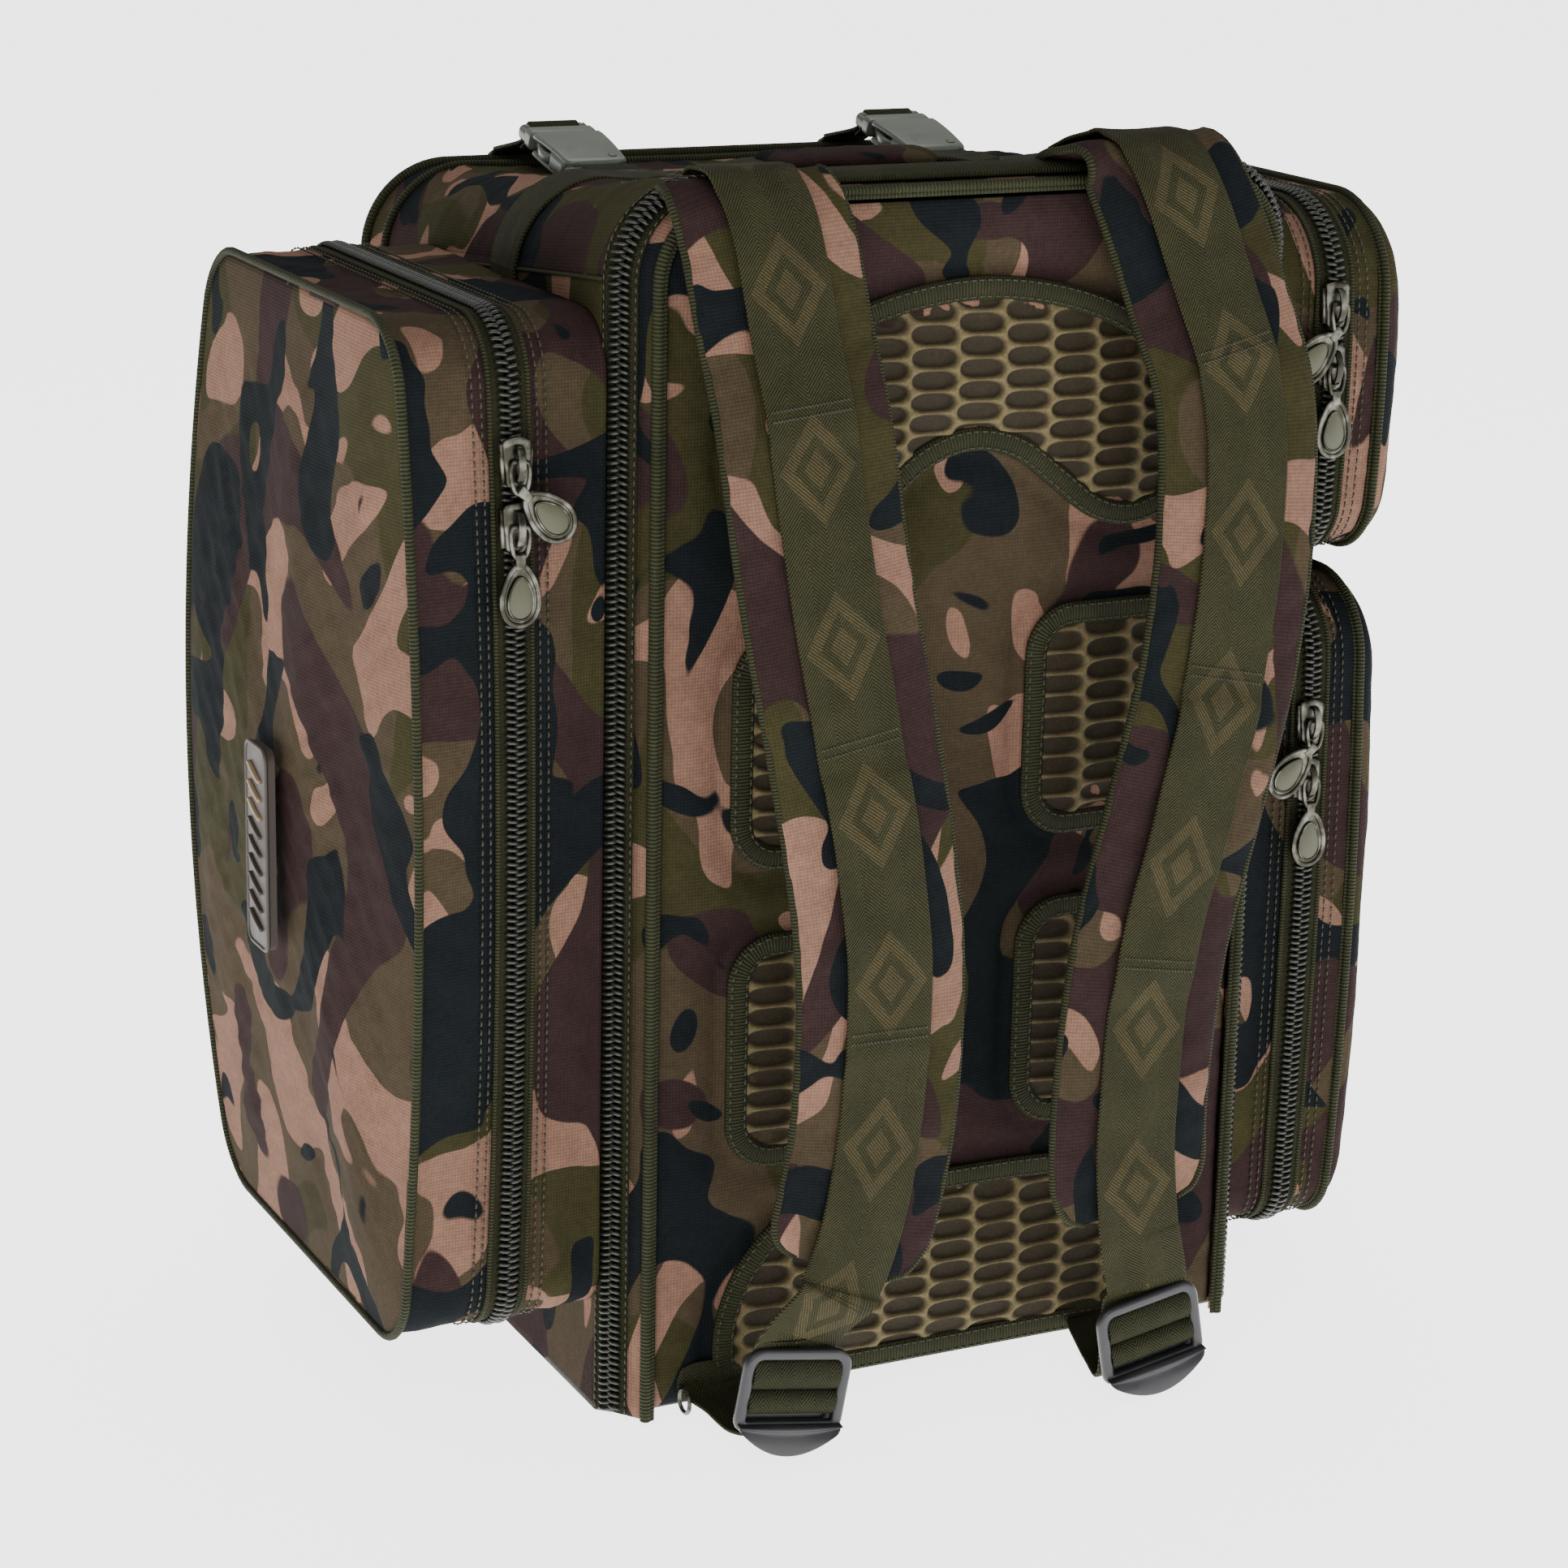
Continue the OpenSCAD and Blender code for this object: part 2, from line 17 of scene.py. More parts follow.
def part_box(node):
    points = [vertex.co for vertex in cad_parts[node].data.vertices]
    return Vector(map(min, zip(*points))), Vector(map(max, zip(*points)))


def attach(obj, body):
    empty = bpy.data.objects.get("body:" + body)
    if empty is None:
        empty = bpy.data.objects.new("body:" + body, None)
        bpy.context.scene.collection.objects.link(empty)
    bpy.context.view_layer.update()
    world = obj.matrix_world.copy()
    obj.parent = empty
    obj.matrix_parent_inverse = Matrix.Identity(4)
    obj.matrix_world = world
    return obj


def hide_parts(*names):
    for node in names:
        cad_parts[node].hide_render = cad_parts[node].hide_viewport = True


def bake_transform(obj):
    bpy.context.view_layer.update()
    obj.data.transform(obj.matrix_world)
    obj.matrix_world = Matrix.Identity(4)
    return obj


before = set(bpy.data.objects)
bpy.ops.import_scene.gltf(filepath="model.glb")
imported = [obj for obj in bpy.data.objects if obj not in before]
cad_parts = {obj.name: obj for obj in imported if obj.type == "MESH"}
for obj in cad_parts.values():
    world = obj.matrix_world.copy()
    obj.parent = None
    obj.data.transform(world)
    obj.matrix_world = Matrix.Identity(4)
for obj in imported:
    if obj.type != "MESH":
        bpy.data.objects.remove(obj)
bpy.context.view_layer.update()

log = logging.getLogger("rucksack")
MM = 0.001
STITCH_PITCH = 4.0  # millimetres from one stitch to the next
BUCKLE_DROP = 10.0  # millimetres the drawn buckles lie below the CAD ones
SIDE_SHARE = 0.36  # share of an arch's outline that each straight side takes
STRAP_LINES = {
    "left": [[-112, -139, 542], [-111, -151, 546], [-106, -163, 530], [-102, -175, 490],
             [-98, -187, 450], [-92, -196, 390], [-82, -202, 330], [-72, -206, 270],
             [-67, -209, 215], [-70, -211, 150], [-82, -212, 95], [-98, -212, 64]],
    "right": [[70, -116, 541], [76, -134, 550], [83, -149, 551], [90, -163, 530],
              [101, -175, 490], [109, -187, 450], [107, -196, 395], [98, -202, 335],
              [82, -206, 275], [65, -209, 210], [58, -211, 140], [60, -212, 95], [66, -212, 62]],
}
Array = np.ndarray
Obj = bpy.types.Object


def node_box(name: str) -> tuple[Array, Array]:
    """Lowest and highest corner of a CAD node, in millimetres."""
    low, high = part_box(name)
    return np.array(low) / MM, np.array(high) / MM


# ---------------------------------------------------------------- meshes


@dataclass
class Patch:
    """A piece of surface: points in millimetres, quads and triangles with their cloth coordinates."""

    points: Array
    quads: Array
    quad_uv: Array
    tris: Array = field(default_factory=lambda: np.zeros((0, 3), int))
    tri_uv: Array = field(default_factory=lambda: np.zeros((0, 3, 2)))
    finish: int = 0

    def flipped(self) -> "Patch":
        """The same surface facing the other way."""
        return Patch(self.points, self.quads[:, ::-1], self.quad_uv[:, ::-1],
                     self.tris[:, ::-1], self.tri_uv[:, ::-1], self.finish)

    def volume(self) -> float:
        """Signed volume: the sum over triangles of a . (b x c) / 6."""
        q = self.quads
        t = np.concatenate([q[:, [0, 1, 2]], q[:, [0, 2, 3]], self.tris])
        a, b, c = (self.points[t[:, k]] for k in range(3))
        return float(np.einsum("ij,ij->i", a, np.cross(b, c)).sum() / 6)

    def outward(self) -> "Patch":
        """A closed surface turned so that its faces point out."""
        centre = self.points.mean(0)
        self.points = self.points - centre
        keep = self.volume() >= 0
        self.points = self.points + centre
        return self if keep else self.flipped()

    def facing(self, direction: Sequence[float]) -> "Patch":
        """An open sheet turned so that its faces look along a direction on the whole."""
        q = self.quads
        d1 = self.points[q[:, 2]] - self.points[q[:, 0]]
        d2 = self.points[q[:, 3]] - self.points[q[:, 1]]
        look = float(np.cross(d1, d2).sum(0) @ np.array(direction, float))
        return self if look >= 0 else self.flipped()

    def moved(self, turn: Array, place: Array) -> "Patch":
        """The patch turned by a 3 x 3 matrix and then carried to a place."""
        return Patch(self.points @ np.array(turn).T + np.array(place), self.quads, self.quad_uv,
                     self.tris, self.tri_uv, self.finish)

    def using(self, finish: int) -> "Patch":
        """The patch with another of its object's materials."""
        self.finish = finish
        return self


def build(name: str, patches: Sequence[Patch], finishes: Sequence[bpy.types.Material]) -> Obj:
    """Join patches into one mesh object at the origin.

    Args:
        name: the piece's name.
        patches: the surfaces, in millimetres.
        finishes: the materials that the patches' finish numbers point to.

    Returns:
        The new object, linked to the scene.
    """
    base, points, corners, sizes, uv, slots = 0, [], [], [], [], []
    for p in patches:
        points.append(p.points)
        for faces, coords in ((p.quads, p.quad_uv), (p.tris, p.tri_uv)):
            if len(faces):
                corners.append((faces + base).ravel())
                sizes.append(np.full(len(faces), faces.shape[1]))
                uv.append(coords.reshape(-1, 2))
                slots.append(np.full(len(faces), p.finish))
        base += len(p.points)
    points, corners = np.concatenate(points) * MM, np.concatenate(corners)
    sizes, uv, slots = np.concatenate(sizes), np.concatenate(uv) * MM, np.concatenate(slots)
    mesh = bpy.data.meshes.new(name)
    mesh.vertices.add(len(points))
    mesh.vertices.foreach_set("co", points.astype(np.float32).ravel())
    mesh.loops.add(len(corners))
    mesh.loops.foreach_set("vertex_index", corners.astype(np.int32))
    mesh.polygons.add(len(sizes))
    mesh.polygons.foreach_set("loop_start", (np.cumsum(sizes) - sizes).astype(np.int32))
    mesh.polygons.foreach_set("material_index", slots.astype(np.int32))
    mesh.update(calc_edges=True)
    mesh.uv_layers.new(name="UVMap").data.foreach_set("uv", uv.astype(np.float32).ravel())
    mesh.polygons.foreach_set("use_smooth", np.full(len(sizes), True))
    for finish in finishes:
        mesh.materials.append(finish)
    mesh.validate()
    obj = bpy.data.objects.new(name, mesh)
    bpy.context.scene.collection.objects.link(obj)
    return obj


def lengths(p: Array) -> Array:
    """Running length along the first axis of a grid of points, averaged over the second."""
    step = np.linalg.norm(np.diff(p, axis=0), axis=-1)
    step = step.mean(1) if step.ndim == 2 else step
    return np.concatenate([[0.0], np.cumsum(step)])


def grid(p: Array, closed: tuple[bool, bool] = (False, False), caps: bool = False,
         uv: Optional[Array] = None, finish: int = 0) -> Patch:
    """Surface through a grid of points, with cloth coordinates (across, along) as running lengths.

    Args:
        p: points, shape (rows, columns, 3).
        closed: whether rows and columns wrap round.
        caps: whether the two end rows are closed with a fan round their middle.
        uv: cloth coordinates, shape (rows, columns, 2), in place of running lengths.
        finish: material number.

    Returns:
        The patch.
    """
    n, m = p.shape[:2]
    i = np.arange(n if closed[0] else n - 1)[:, None]
    j = np.arange(m if closed[1] else m - 1)[None, :]
    i1, j1 = i + 1, j + 1
    corner = [(i, j), (i, j1), (i1, j1), (i1, j)]
    quads = np.stack([np.broadcast_to((a % n) * m + b % m, (i.size, j.size)) for a, b in corner], -1)
    if uv is None:
        wrap = np.concatenate([p, p[:1]]) if closed[0] else p
        wrap = np.concatenate([wrap, wrap[:, :1]], 1) if closed[1] else wrap
        along, across = lengths(wrap), lengths(wrap.swapaxes(0, 1))
        uv = np.stack(np.broadcast_arrays(across[None, :], along[:, None]), -1)
    pick = [(np.minimum(a, uv.shape[0] - 1), np.minimum(b, uv.shape[1] - 1)) for a, b in corner]
    quad_uv = np.stack([uv[np.broadcast_to(a, quads.shape[:2]), np.broadcast_to(b, quads.shape[:2])]
                        for a, b in pick], 2)
    points, tris, tri_uv = p.reshape(-1, 3), [], []
    if caps:
        k = np.arange(m)
        for row, sign in ((0, 1), (n - 1, -1)):
            hub = len(points)
            points = np.concatenate([points, p[row].mean(0)[None]])
            fan = np.stack([np.full(m, hub), row * m + (k + 1) % m, row * m + k], -1)
            tris.append(fan if sign > 0 else fan[:, ::-1])
            spread = p[row] - p[row].mean(0)
            flat = np.stack([np.linalg.norm(spread, axis=-1), spread[:, 2]], -1)
            fan_uv = np.stack([np.zeros((m, 2)), np.roll(flat, -1, 0), flat], 1)
            tri_uv.append(fan_uv if sign > 0 else fan_uv[:, ::-1])
    tris = np.concatenate(tris) if tris else np.zeros((0, 3), int)
    tri_uv = np.concatenate(tri_uv) if tri_uv else np.zeros((0, 3, 2))
    return Patch(points, quads.reshape(-1, 4), quad_uv.reshape(-1, 4, 2), tris, tri_uv, finish)


def unit(v: Array) -> Array:
    """Vectors scaled to length one."""
    return v / np.maximum(np.linalg.norm(v, axis=-1, keepdims=True), 1e-9)


def through(points: Sequence[Sequence[float]], count: int, closed: bool = False) -> Array:
    """Smooth curve through points, evenly spaced along its length.

    Each span is the Catmull-Rom cubic of its four nearest points.
    """
    p = np.array(points, float)
    if closed:
        p = np.concatenate([p[-1:], p, p[:2]])
    else:
        p = np.concatenate([2 * p[:1] - p[1:2], p, 2 * p[-1:] - p[-2:-1]])
    t = np.linspace(0, 1, 24, endpoint=False)[None, :, None]
    a, b, c, d = (p[k:len(p) - 3 + k, None] for k in range(4))
    curve = 0.5 * (2 * b + (c - a) * t + (2 * a - 5 * b + 4 * c - d) * t ** 2
                   + (3 * b - a - 3 * c + d) * t ** 3)
    curve = np.concatenate([curve.reshape(-1, p.shape[1]), p[-2][None]])
    run = np.concatenate([[0.0], np.cumsum(np.linalg.norm(np.diff(curve, axis=0), axis=1))])
    want = np.linspace(0, run[-1], count, endpoint=not closed)
    return np.stack([np.interp(want, run, curve[:, k]) for k in range(p.shape[1])], -1)


def directions(path: Array, closed: bool) -> Array:
    """Unit direction of a path at each of its points."""
    if closed:
        return unit(np.roll(path, -1, 0) - np.roll(path, 1, 0))
    return unit(np.gradient(path, axis=0))


def sweep(path: Array, section: Array, hint: Sequence[float], closed: bool = False,
          scale: Optional[Array] = None, finish: int = 0) -> Patch:
    """Closed section carried along a path: path + u * side + v * up.

    A flat section takes u itself as its cloth coordinate, so that a pattern stays centred on it.

    Args:
        path: points, shape (n, 3).
        section: closed outline, shape (m, 2), as (u, v), or (n, m, 2) when it changes on the way.
        hint: direction that u keeps to, made square to the path.
        closed: whether the path is a loop.
        scale: factors on (u, v) along the path, shape (n, 2).
        finish: material number.

    Returns:
        The closed patch, facing out.
    """
    t = directions(path, closed)
    side = np.broadcast_to(np.array(hint, float), t.shape)
    side = unit(side - t * (side * t).sum(-1, keepdims=True))
    up = np.cross(t, side)
    s = np.broadcast_to(section, (len(path),) + section.shape[-2:])
    if scale is not None:
        s = s * scale[:, None, :]
    p = path[:, None] + s[..., :1] * side[:, None] + s[..., 1:] * up[:, None]
    uv = None
    if np.ptp(section[..., 0]) > 3 * np.ptp(section[..., 1]):
        across = s[..., 0] - s[..., 0].min()
        along = lengths(np.concatenate([path, path[:1]])[:, None] if closed else path[:, None])
        across = np.concatenate([across, across[:1]]) if closed else across
        across = np.concatenate([across, across[:, :1]], 1)
        uv = np.stack(np.broadcast_arrays(across, along[:, None]), -1)
    return grid(p, (closed, True), not closed, uv=uv, finish=finish).outward()


def round_section(w: float, h: float, r: float, steps: int = 4) -> Array:
    """Outline of a w by h rectangle with corners rounded by r, starting on its top left."""
    a = np.linspace(0, math.pi / 2, steps)
    corners = [((-w / 2 + r, h / 2 - r), math.pi / 2), ((-w / 2 + r, -h / 2 + r), math.pi),
               ((w / 2 - r, -h / 2 + r), 1.5 * math.pi), ((w / 2 - r, h / 2 - r), 0.0)]
    arcs = [np.stack([c[0] + r * np.cos(s + a), c[1] + r * np.sin(s + a)], -1) for c, s in corners]
    return np.concatenate(arcs)[::-1]


def circle_section(r: float, steps: int = 10) -> Array:
    """Outline of a circle."""
    a = np.linspace(0, 2 * math.pi, steps, endpoint=False)
    return np.stack([r * np.cos(a), r * np.sin(a)], -1)


def hub_fan(start: int, count: int, hub: int) -> Array:
    """Triangles that close a ring of points onto one hub point."""
    k = np.arange(count)
    return np.stack([start + k, start + (k + 1) % count, np.full(count, hub)], -1)


def dome(boundary: Array, bulge: Sequence[float], rings: int = 10) -> Patch:
    """Disc inside a closed boundary: centre + (boundary - centre) * r + bulge * (1 - r^2)."""
    centre = boundary.mean(0)
    r = np.linspace(1, 1 / rings, rings)[:, None, None]
    p = centre + (boundary - centre) * r + np.array(bulge) * (1 - r ** 2)
    patch = grid(p, (False, True))
    m = len(boundary)
    hub = len(patch.points)
    patch.points = np.concatenate([patch.points, (centre + np.array(bulge))[None]])
    patch.tris = hub_fan((rings - 1) * m, m, hub)
    flat = patch.points - centre
    axis = int(np.argmin(np.ptp(boundary, axis=0)))
    keep = [c for c in range(3) if c != axis]
    patch.quad_uv = flat[patch.quads][..., keep]
    patch.tri_uv = flat[patch.tris][..., keep]
    return patch


def repeat(unit_patch: Patch, origins: Array, side: Array, up: Array, along: Array,
           finish: int = 0) -> Patch:
    """Copies of a small closed patch: origin + x * side + y * up + z * along for each place."""
    u, n, k = unit_patch, len(origins), len(unit_patch.points)
    p = (origins[:, None] + u.points[None, :, :1] * side[:, None]
         + u.points[None, :, 1:2] * up[:, None] + u.points[None, :, 2:] * along[:, None])
    shift = (np.arange(n) * k)[:, None, None]
    return Patch(p.reshape(-1, 3), (u.quads[None] + shift).reshape(-1, 4),
                 np.tile(u.quad_uv, (n, 1, 1)), (u.tris[None] + shift).reshape(-1, 3),
                 np.tile(u.tri_uv, (n, 1, 1)), finish)


def crumple(p: Array, size: float, seed: int, sharp: bool = False) -> Array:
    """Smooth unevenness about 0: twice the mean of nine sine waves in fixed random directions.

    With sharp set, each wave is folded as 1 - 2 |sin|, which leaves creases.
    """
    draw = np.random.default_rng(seed)
    heading = unit(draw.normal(size=(9, 3)))
    rate = 2 * math.pi / size * draw.uniform(0.5, 1.7, 9)
    wave = np.sin(p @ heading.T * rate + draw.uniform(0, 6.28, 9))
    wave = 1 - 2 * np.abs(wave) if sharp else wave
    return wave.mean(-1) * 2


def rotation(degrees: float, axis: int) -> Array:
    """Matrix that turns by an angle about X (axis 0) or Y (axis 1)."""
    a, turn = math.radians(degrees), np.eye(3)
    i, j = ((1, 2), (2, 0))[axis]
    turn[i, i] = turn[j, j] = math.cos(a)
    turn[i, j], turn[j, i] = -math.sin(a), math.sin(a)
    return turn


def box_stitch(spot: Callable[[float, float], Sequence[float]], hint: Sequence[float]) -> Patch:
    """Box of thread with a cross in it; spot(u, v) is a corner, with u -1 or 1 and v 0 or 1."""
    corners = [spot(u, v) for u, v in ((-1, 0), (1, 0), (1, 1), (-1, 1), (-1, 0), (1, 1), (1, 0), (-1, 1))]
    run = [np.linspace(a, b, 8, endpoint=False) for a, b in zip(corners[:-1], corners[1:])]
    return sweep(np.concatenate(run), circle_section(0.45, 5), hint, finish=1)


def normals_of(p: Array) -> Array:
    """Unit normals of a grid of points, from the cross product of its two directions."""
    return unit(np.cross(np.gradient(p, axis=0), np.gradient(p, axis=1)))


def thicken(obj: Obj, thickness: float, lining: int = 0) -> Obj:
    """Give a sheet its wall thickness, inwards from its face, with a lining material offset."""
    wall = obj.modifiers.new("wall", "SOLIDIFY")
    wall.thickness, wall.offset = thickness * MM, -1.0
    wall.use_even_offset, wall.material_offset = False, lining
    return obj


# ---------------------------------------------------------------- finishes


def linear(colour: str) -> tuple[float, float, float, float]:
    """sRGB hex colour as linear light, with full alpha."""
    parts = [int(colour[k:k + 2], 16) / 255 for k in (1, 3, 5)]
    return tuple([c / 12.92 if c <= 0.04045 else ((c + 0.055) / 1.055) ** 2.4 for c in parts] + [1.0])


def add(tree: bpy.types.NodeTree, kind: str, inputs: Optional[dict] = None,
        **settings: Any) -> bpy.types.Node:
    """Add a node, set its properties, and set or link its inputs.

    Args:
        tree: the material's node tree.
        kind: the node's type, without its ShaderNode prefix.
        inputs: socket name or number to a value, or to an output socket to link.
        settings: node properties.

    Returns:
        The node.
    """
    node = tree.nodes.new("ShaderNode" + kind)
    for key, value in settings.items():
        setattr(node, key, value)
    for key, value in (inputs or {}).items():
        if isinstance(value, bpy.types.NodeSocket):
            tree.links.new(value, node.inputs[key])
        else:
            short = node.inputs[key].type == "VECTOR" and len(value) > 3
            node.inputs[key].default_value = value[:3] if short else value
    return node


def maths(tree: bpy.types.NodeTree, operation: str, a: Any, b: Any = 0.0) -> bpy.types.NodeSocket:
    """Output of a Math node on two values or sockets."""
    return add(tree, "Math", {0: a, 1: b}, operation=operation).outputs[0]


def blend_colour(tree: bpy.types.NodeTree, factor: Any, a: Any, b: Any) -> bpy.types.NodeSocket:
    """Colour a where the factor is 0 and b where it is 1."""
    mix = add(tree, "Mix", {0: factor, 6: a, 7: b}, data_type="RGBA")
    return mix.outputs[2]


def step(tree: bpy.types.NodeTree, value: Any, edge: float, soft: float) -> bpy.types.NodeSocket:
    """Smooth step from 0 to 1 as a value passes an edge."""
    return add(tree, "MapRange", {0: value, 1: edge - soft, 2: edge + soft, 3: 0.0, 4: 1.0},
               interpolation_type="SMOOTHSTEP").outputs[0]


def start(name: str, **surface: Any) -> tuple[bpy.types.Material, bpy.types.NodeTree, bpy.types.Node]:
    """New material with a Principled shader whose sockets are set to the given constants."""
    material = bpy.data.materials.new(name)
    material.use_nodes = True
    tree = material.node_tree
    shader = tree.nodes["Principled BSDF"]
    for key, value in surface.items():
        shader.inputs[key.replace("_", " ")].default_value = value
    return material, tree, shader


def relief(tree: bpy.types.NodeTree, shader: bpy.types.Node, height: Any, depth_mm: float,
           strength: float = 1.0) -> None:
    """Bump of a given real depth on a shader's normal."""
    bump = add(tree, "Bump", {"Height": height, "Distance": depth_mm * MM, "Strength": strength})
    tree.links.new(bump.outputs[0], shader.inputs["Normal"])


def cloth_uv(tree: bpy.types.NodeTree) -> tuple[Any, Any]:
    """The piece's cloth coordinates across and along, in metres."""
    uv = add(tree, "UVMap", uv_map="UVMap").outputs[0]
    parts = add(tree, "SeparateXYZ", {0: uv})
    return parts.outputs[0], parts.outputs[1]


def ribs(tree: bpy.types.NodeTree, value: Any, spacing_mm: float) -> bpy.types.NodeSocket:
    """Rounded ribs from 0 to 1, one per spacing: 0.5 + 0.5 sin(2 pi value / spacing)."""
    wave = maths(tree, "SINE", maths(tree, "MULTIPLY", value, 2 * math.pi / (spacing_mm * MM)))
    return add(tree, "Math", {0: wave, 1: 0.5, 2: 0.5}, operation="MULTIPLY_ADD").outputs[0]


def noise(tree: bpy.types.NodeTree, scale: float, detail: float, **more: float) -> bpy.types.NodeSocket:
    """Noise over the piece's own coordinates."""
    place = add(tree, "TexCoord").outputs["Object"]
    return add(tree, "TexNoise", {0: place, "Scale": scale, "Detail": detail, **more}).outputs[0]


def spread(tree: bpy.types.NodeTree, value: Any, low: float, high: float,
           edges: tuple[float, float] = (0.3, 0.7)) -> bpy.types.NodeSocket:
    """A value carried from between two edges to between low and high."""
    return add(tree, "MapRange", {0: value, 1: edges[0], 2: edges[1], 3: low, 4: high}).outputs[0]


def paint(tree: bpy.types.NodeTree, shader: bpy.types.Node, colour: Any, *factors: Any) -> None:
    """Base colour times the product of some factors."""
    product = factors[0]
    for factor in factors[1:]:
        product = maths(tree, "MULTIPLY", product, factor)
    shaded = add(tree, "VectorMath", {0: colour, 3: product}, operation="SCALE")
    tree.links.new(shaded.outputs[0], shader.inputs["Base Color"])


@dataclass(frozen=True)
class PrintedOxford:
    """Printed 600 denier polyester oxford: matt woven cloth in a five colour woodland camouflage.

    The weave is really 0.5 mm; it is drawn at 1.5 mm so that it shows.
    """

    name: str
    shift: tuple[float, float, float] = (0.0, 0.0, 0.0)
    lean: float = 0.9
    base: str = "#42382A"
    olive: str = "#35321E"
    tan: str = "#7D5F50"
    plum: str = "#302322"
    ink: str = "#15191B"
    weave_mm: float = 1.5

    def make(self) -> bpy.types.Material:
        """Four thresholded noise fields over the base colour, a plain weave whose colour carries painted
        shade in its pits and a painted highlight on its crossings, and light wear.
        """
        material, tree, shader = start(self.name, Roughness=0.86, Specular_IOR_Level=0.07,
                                       IOR=1.45)
        place = add(tree, "TexCoord").outputs["Object"]
        across, along = cloth_uv(tree)
        colour: Any = linear(self.base)
        layers = ((self.olive, 9.0, 0.53, 1.0, 0.0), (self.tan, 11.0, 0.562, 2.3, 3.1),
                  (self.plum, 8.5, 0.552, 1.5, 7.7), (self.ink, 12.0, 0.598, 2.3, 12.9))
        for shade, scale, edge, swirl, offset in layers:
            spot = add(tree, "Mapping", {0: place, 1: [offset + s for s in self.shift],
                                         2: (self.lean * 0.4, self.lean, 0.5 * self.lean),
                                         3: (1.0, 1.0, 0.8)})
            blobs = add(tree, "TexNoise", {0: spot.outputs[0], "Scale": scale, "Detail": 0.4,
                                           "Roughness": 0.4, "Distortion": swirl})
            colour = blend_colour(tree, step(tree, blobs.outputs[0], edge, 0.004), colour, linear(shade))
        warp, weft = ribs(tree, across, self.weave_mm), ribs(tree, along, self.weave_mm)
        threads = maths(tree, "MULTIPLY", warp, weft)
        fade = noise(tree, 26.0, 5.0, Roughness=0.6)
        slub = noise(tree, 420.0, 2.0)
        # the weave factor darkens the pits and lightens the thread crossings: painted shade and painted
        # highlight
        paint(tree, shader, colour, spread(tree, fade, 0.86, 1.12),
              spread(tree, threads, 0.80, 1.14, (0.0, 1.0)), spread(tree, slub, 0.86, 1.14, (0.25, 0.75)))
        relief(tree, shader, maths(tree, "ADD", threads, maths(tree, "MULTIPLY", fade, 2.0)), 0.35, 0.55)
        return material


class Weave(Enum):
    """How a woven strip is patterned."""

    RIBBED = "ribbed"
    HERRINGBONE = "herringbone"


@dataclass(frozen=True)
class WovenTape:
    """Nylon webbing or grosgrain: hard spun threads laid in ribs, nearly matt.

    A herringbone webbing may carry a tonal motif of nested lozenges, one per pitch.
    """

    name: str
    colour: str
    weave: Weave = Weave.RIBBED
    rib_mm: float = 1.6
    width_mm: float = 40.0
    motif: str = ""
    motif_pitch_mm: float = 74.0

    def make(self) -> bpy.types.Material:
        """Ribs across the strip, or ribs slanted either way in four columns, painted darker in their grooves
        and lighter on their crests as painted shade and highlight.
        """
        material, tree, shader = start(self.name, Roughness=0.72, Specular_IOR_Level=0.12,
                                       IOR=1.5)
        across, along = cloth_uv(tree)
        colour: Any = linear(self.colour)
        line = along
        if self.weave is Weave.HERRINGBONE:
            fold = maths(tree, "PINGPONG", across, self.width_mm * MM / 4)
            line = maths(tree, "ADD", along, maths(tree, "MULTIPLY", fold, 1.1))
        rib = ribs(tree, line, self.rib_mm)
        if self.motif:
            centre = maths(tree, "ABSOLUTE", maths(tree, "SUBTRACT", across, self.width_mm * MM / 2))
            run = maths(tree, "PINGPONG", along, self.motif_pitch_mm * MM / 2)
            reach = maths(tree, "ADD", maths(tree, "MULTIPLY", centre, 1.35), run)
            outer = maths(tree, "SUBTRACT", 1.0, step(tree, reach, 0.0235, 0.0007))
            hole = step(tree, reach, 0.0150, 0.0007)
            core = maths(tree, "SUBTRACT", 1.0, step(tree, reach, 0.0085, 0.0007))
            mark = maths(tree, "MAXIMUM", maths(tree, "MULTIPLY", outer, hole), core)
            colour = blend_colour(tree, mark, colour, linear(self.motif))
            turned = ribs(tree, maths(tree, "SUBTRACT", along, across), self.rib_mm)
            rib = add(tree, "Mix", {0: mark, 2: rib, 3: turned}).outputs[0]
        wear = noise(tree, 55.0, 4.0)
        thread = noise(tree, 900.0, 1.0)
        # the rib factor is painted shade in the grooves and a painted highlight on the crests
        paint(tree, shader, colour, spread(tree, wear, 0.84, 1.16),
              spread(tree, rib, 0.50, 1.24, (0.0, 1.0)), spread(tree, thread, 0.82, 1.18, (0.25, 0.75)))
        relief(tree, shader, rib, 0.6, 1.0)
        return material


@dataclass(frozen=True)
class AirMesh:
    """Knitted polyester air mesh: khaki strands over foam, with painted shade in its deep cells."""

    name: str = "knitted_air_mesh"
    strand: str = "#5F5438"
    # colour of the painted shade in the deep cells
    shaded_cell: str = "#292214"

    def make(self) -> bpy.types.Material:
        """Strand colour by the relief attribute, falling to a painted shade colour in the cells, with a fine
        knit on top.
        """
        material, tree, shader = start(self.name, Roughness=0.75, Specular_IOR_Level=0.25,
                                       IOR=1.48)
        height = add(tree, "Attribute", attribute_name="relief").outputs["Fac"]
        knit = noise(tree, 700.0, 2.0)
        ramp = spread(tree, height, 0.0, 1.0, (0.28, 0.95))
        colour = blend_colour(tree, ramp, linear(self.shaded_cell), linear(self.strand))
        paint(tree, shader, colour, spread(tree, knit, 0.72, 1.25, (0.25, 0.75)))
        relief(tree, shader, knit, 0.5, 0.6)
        return material


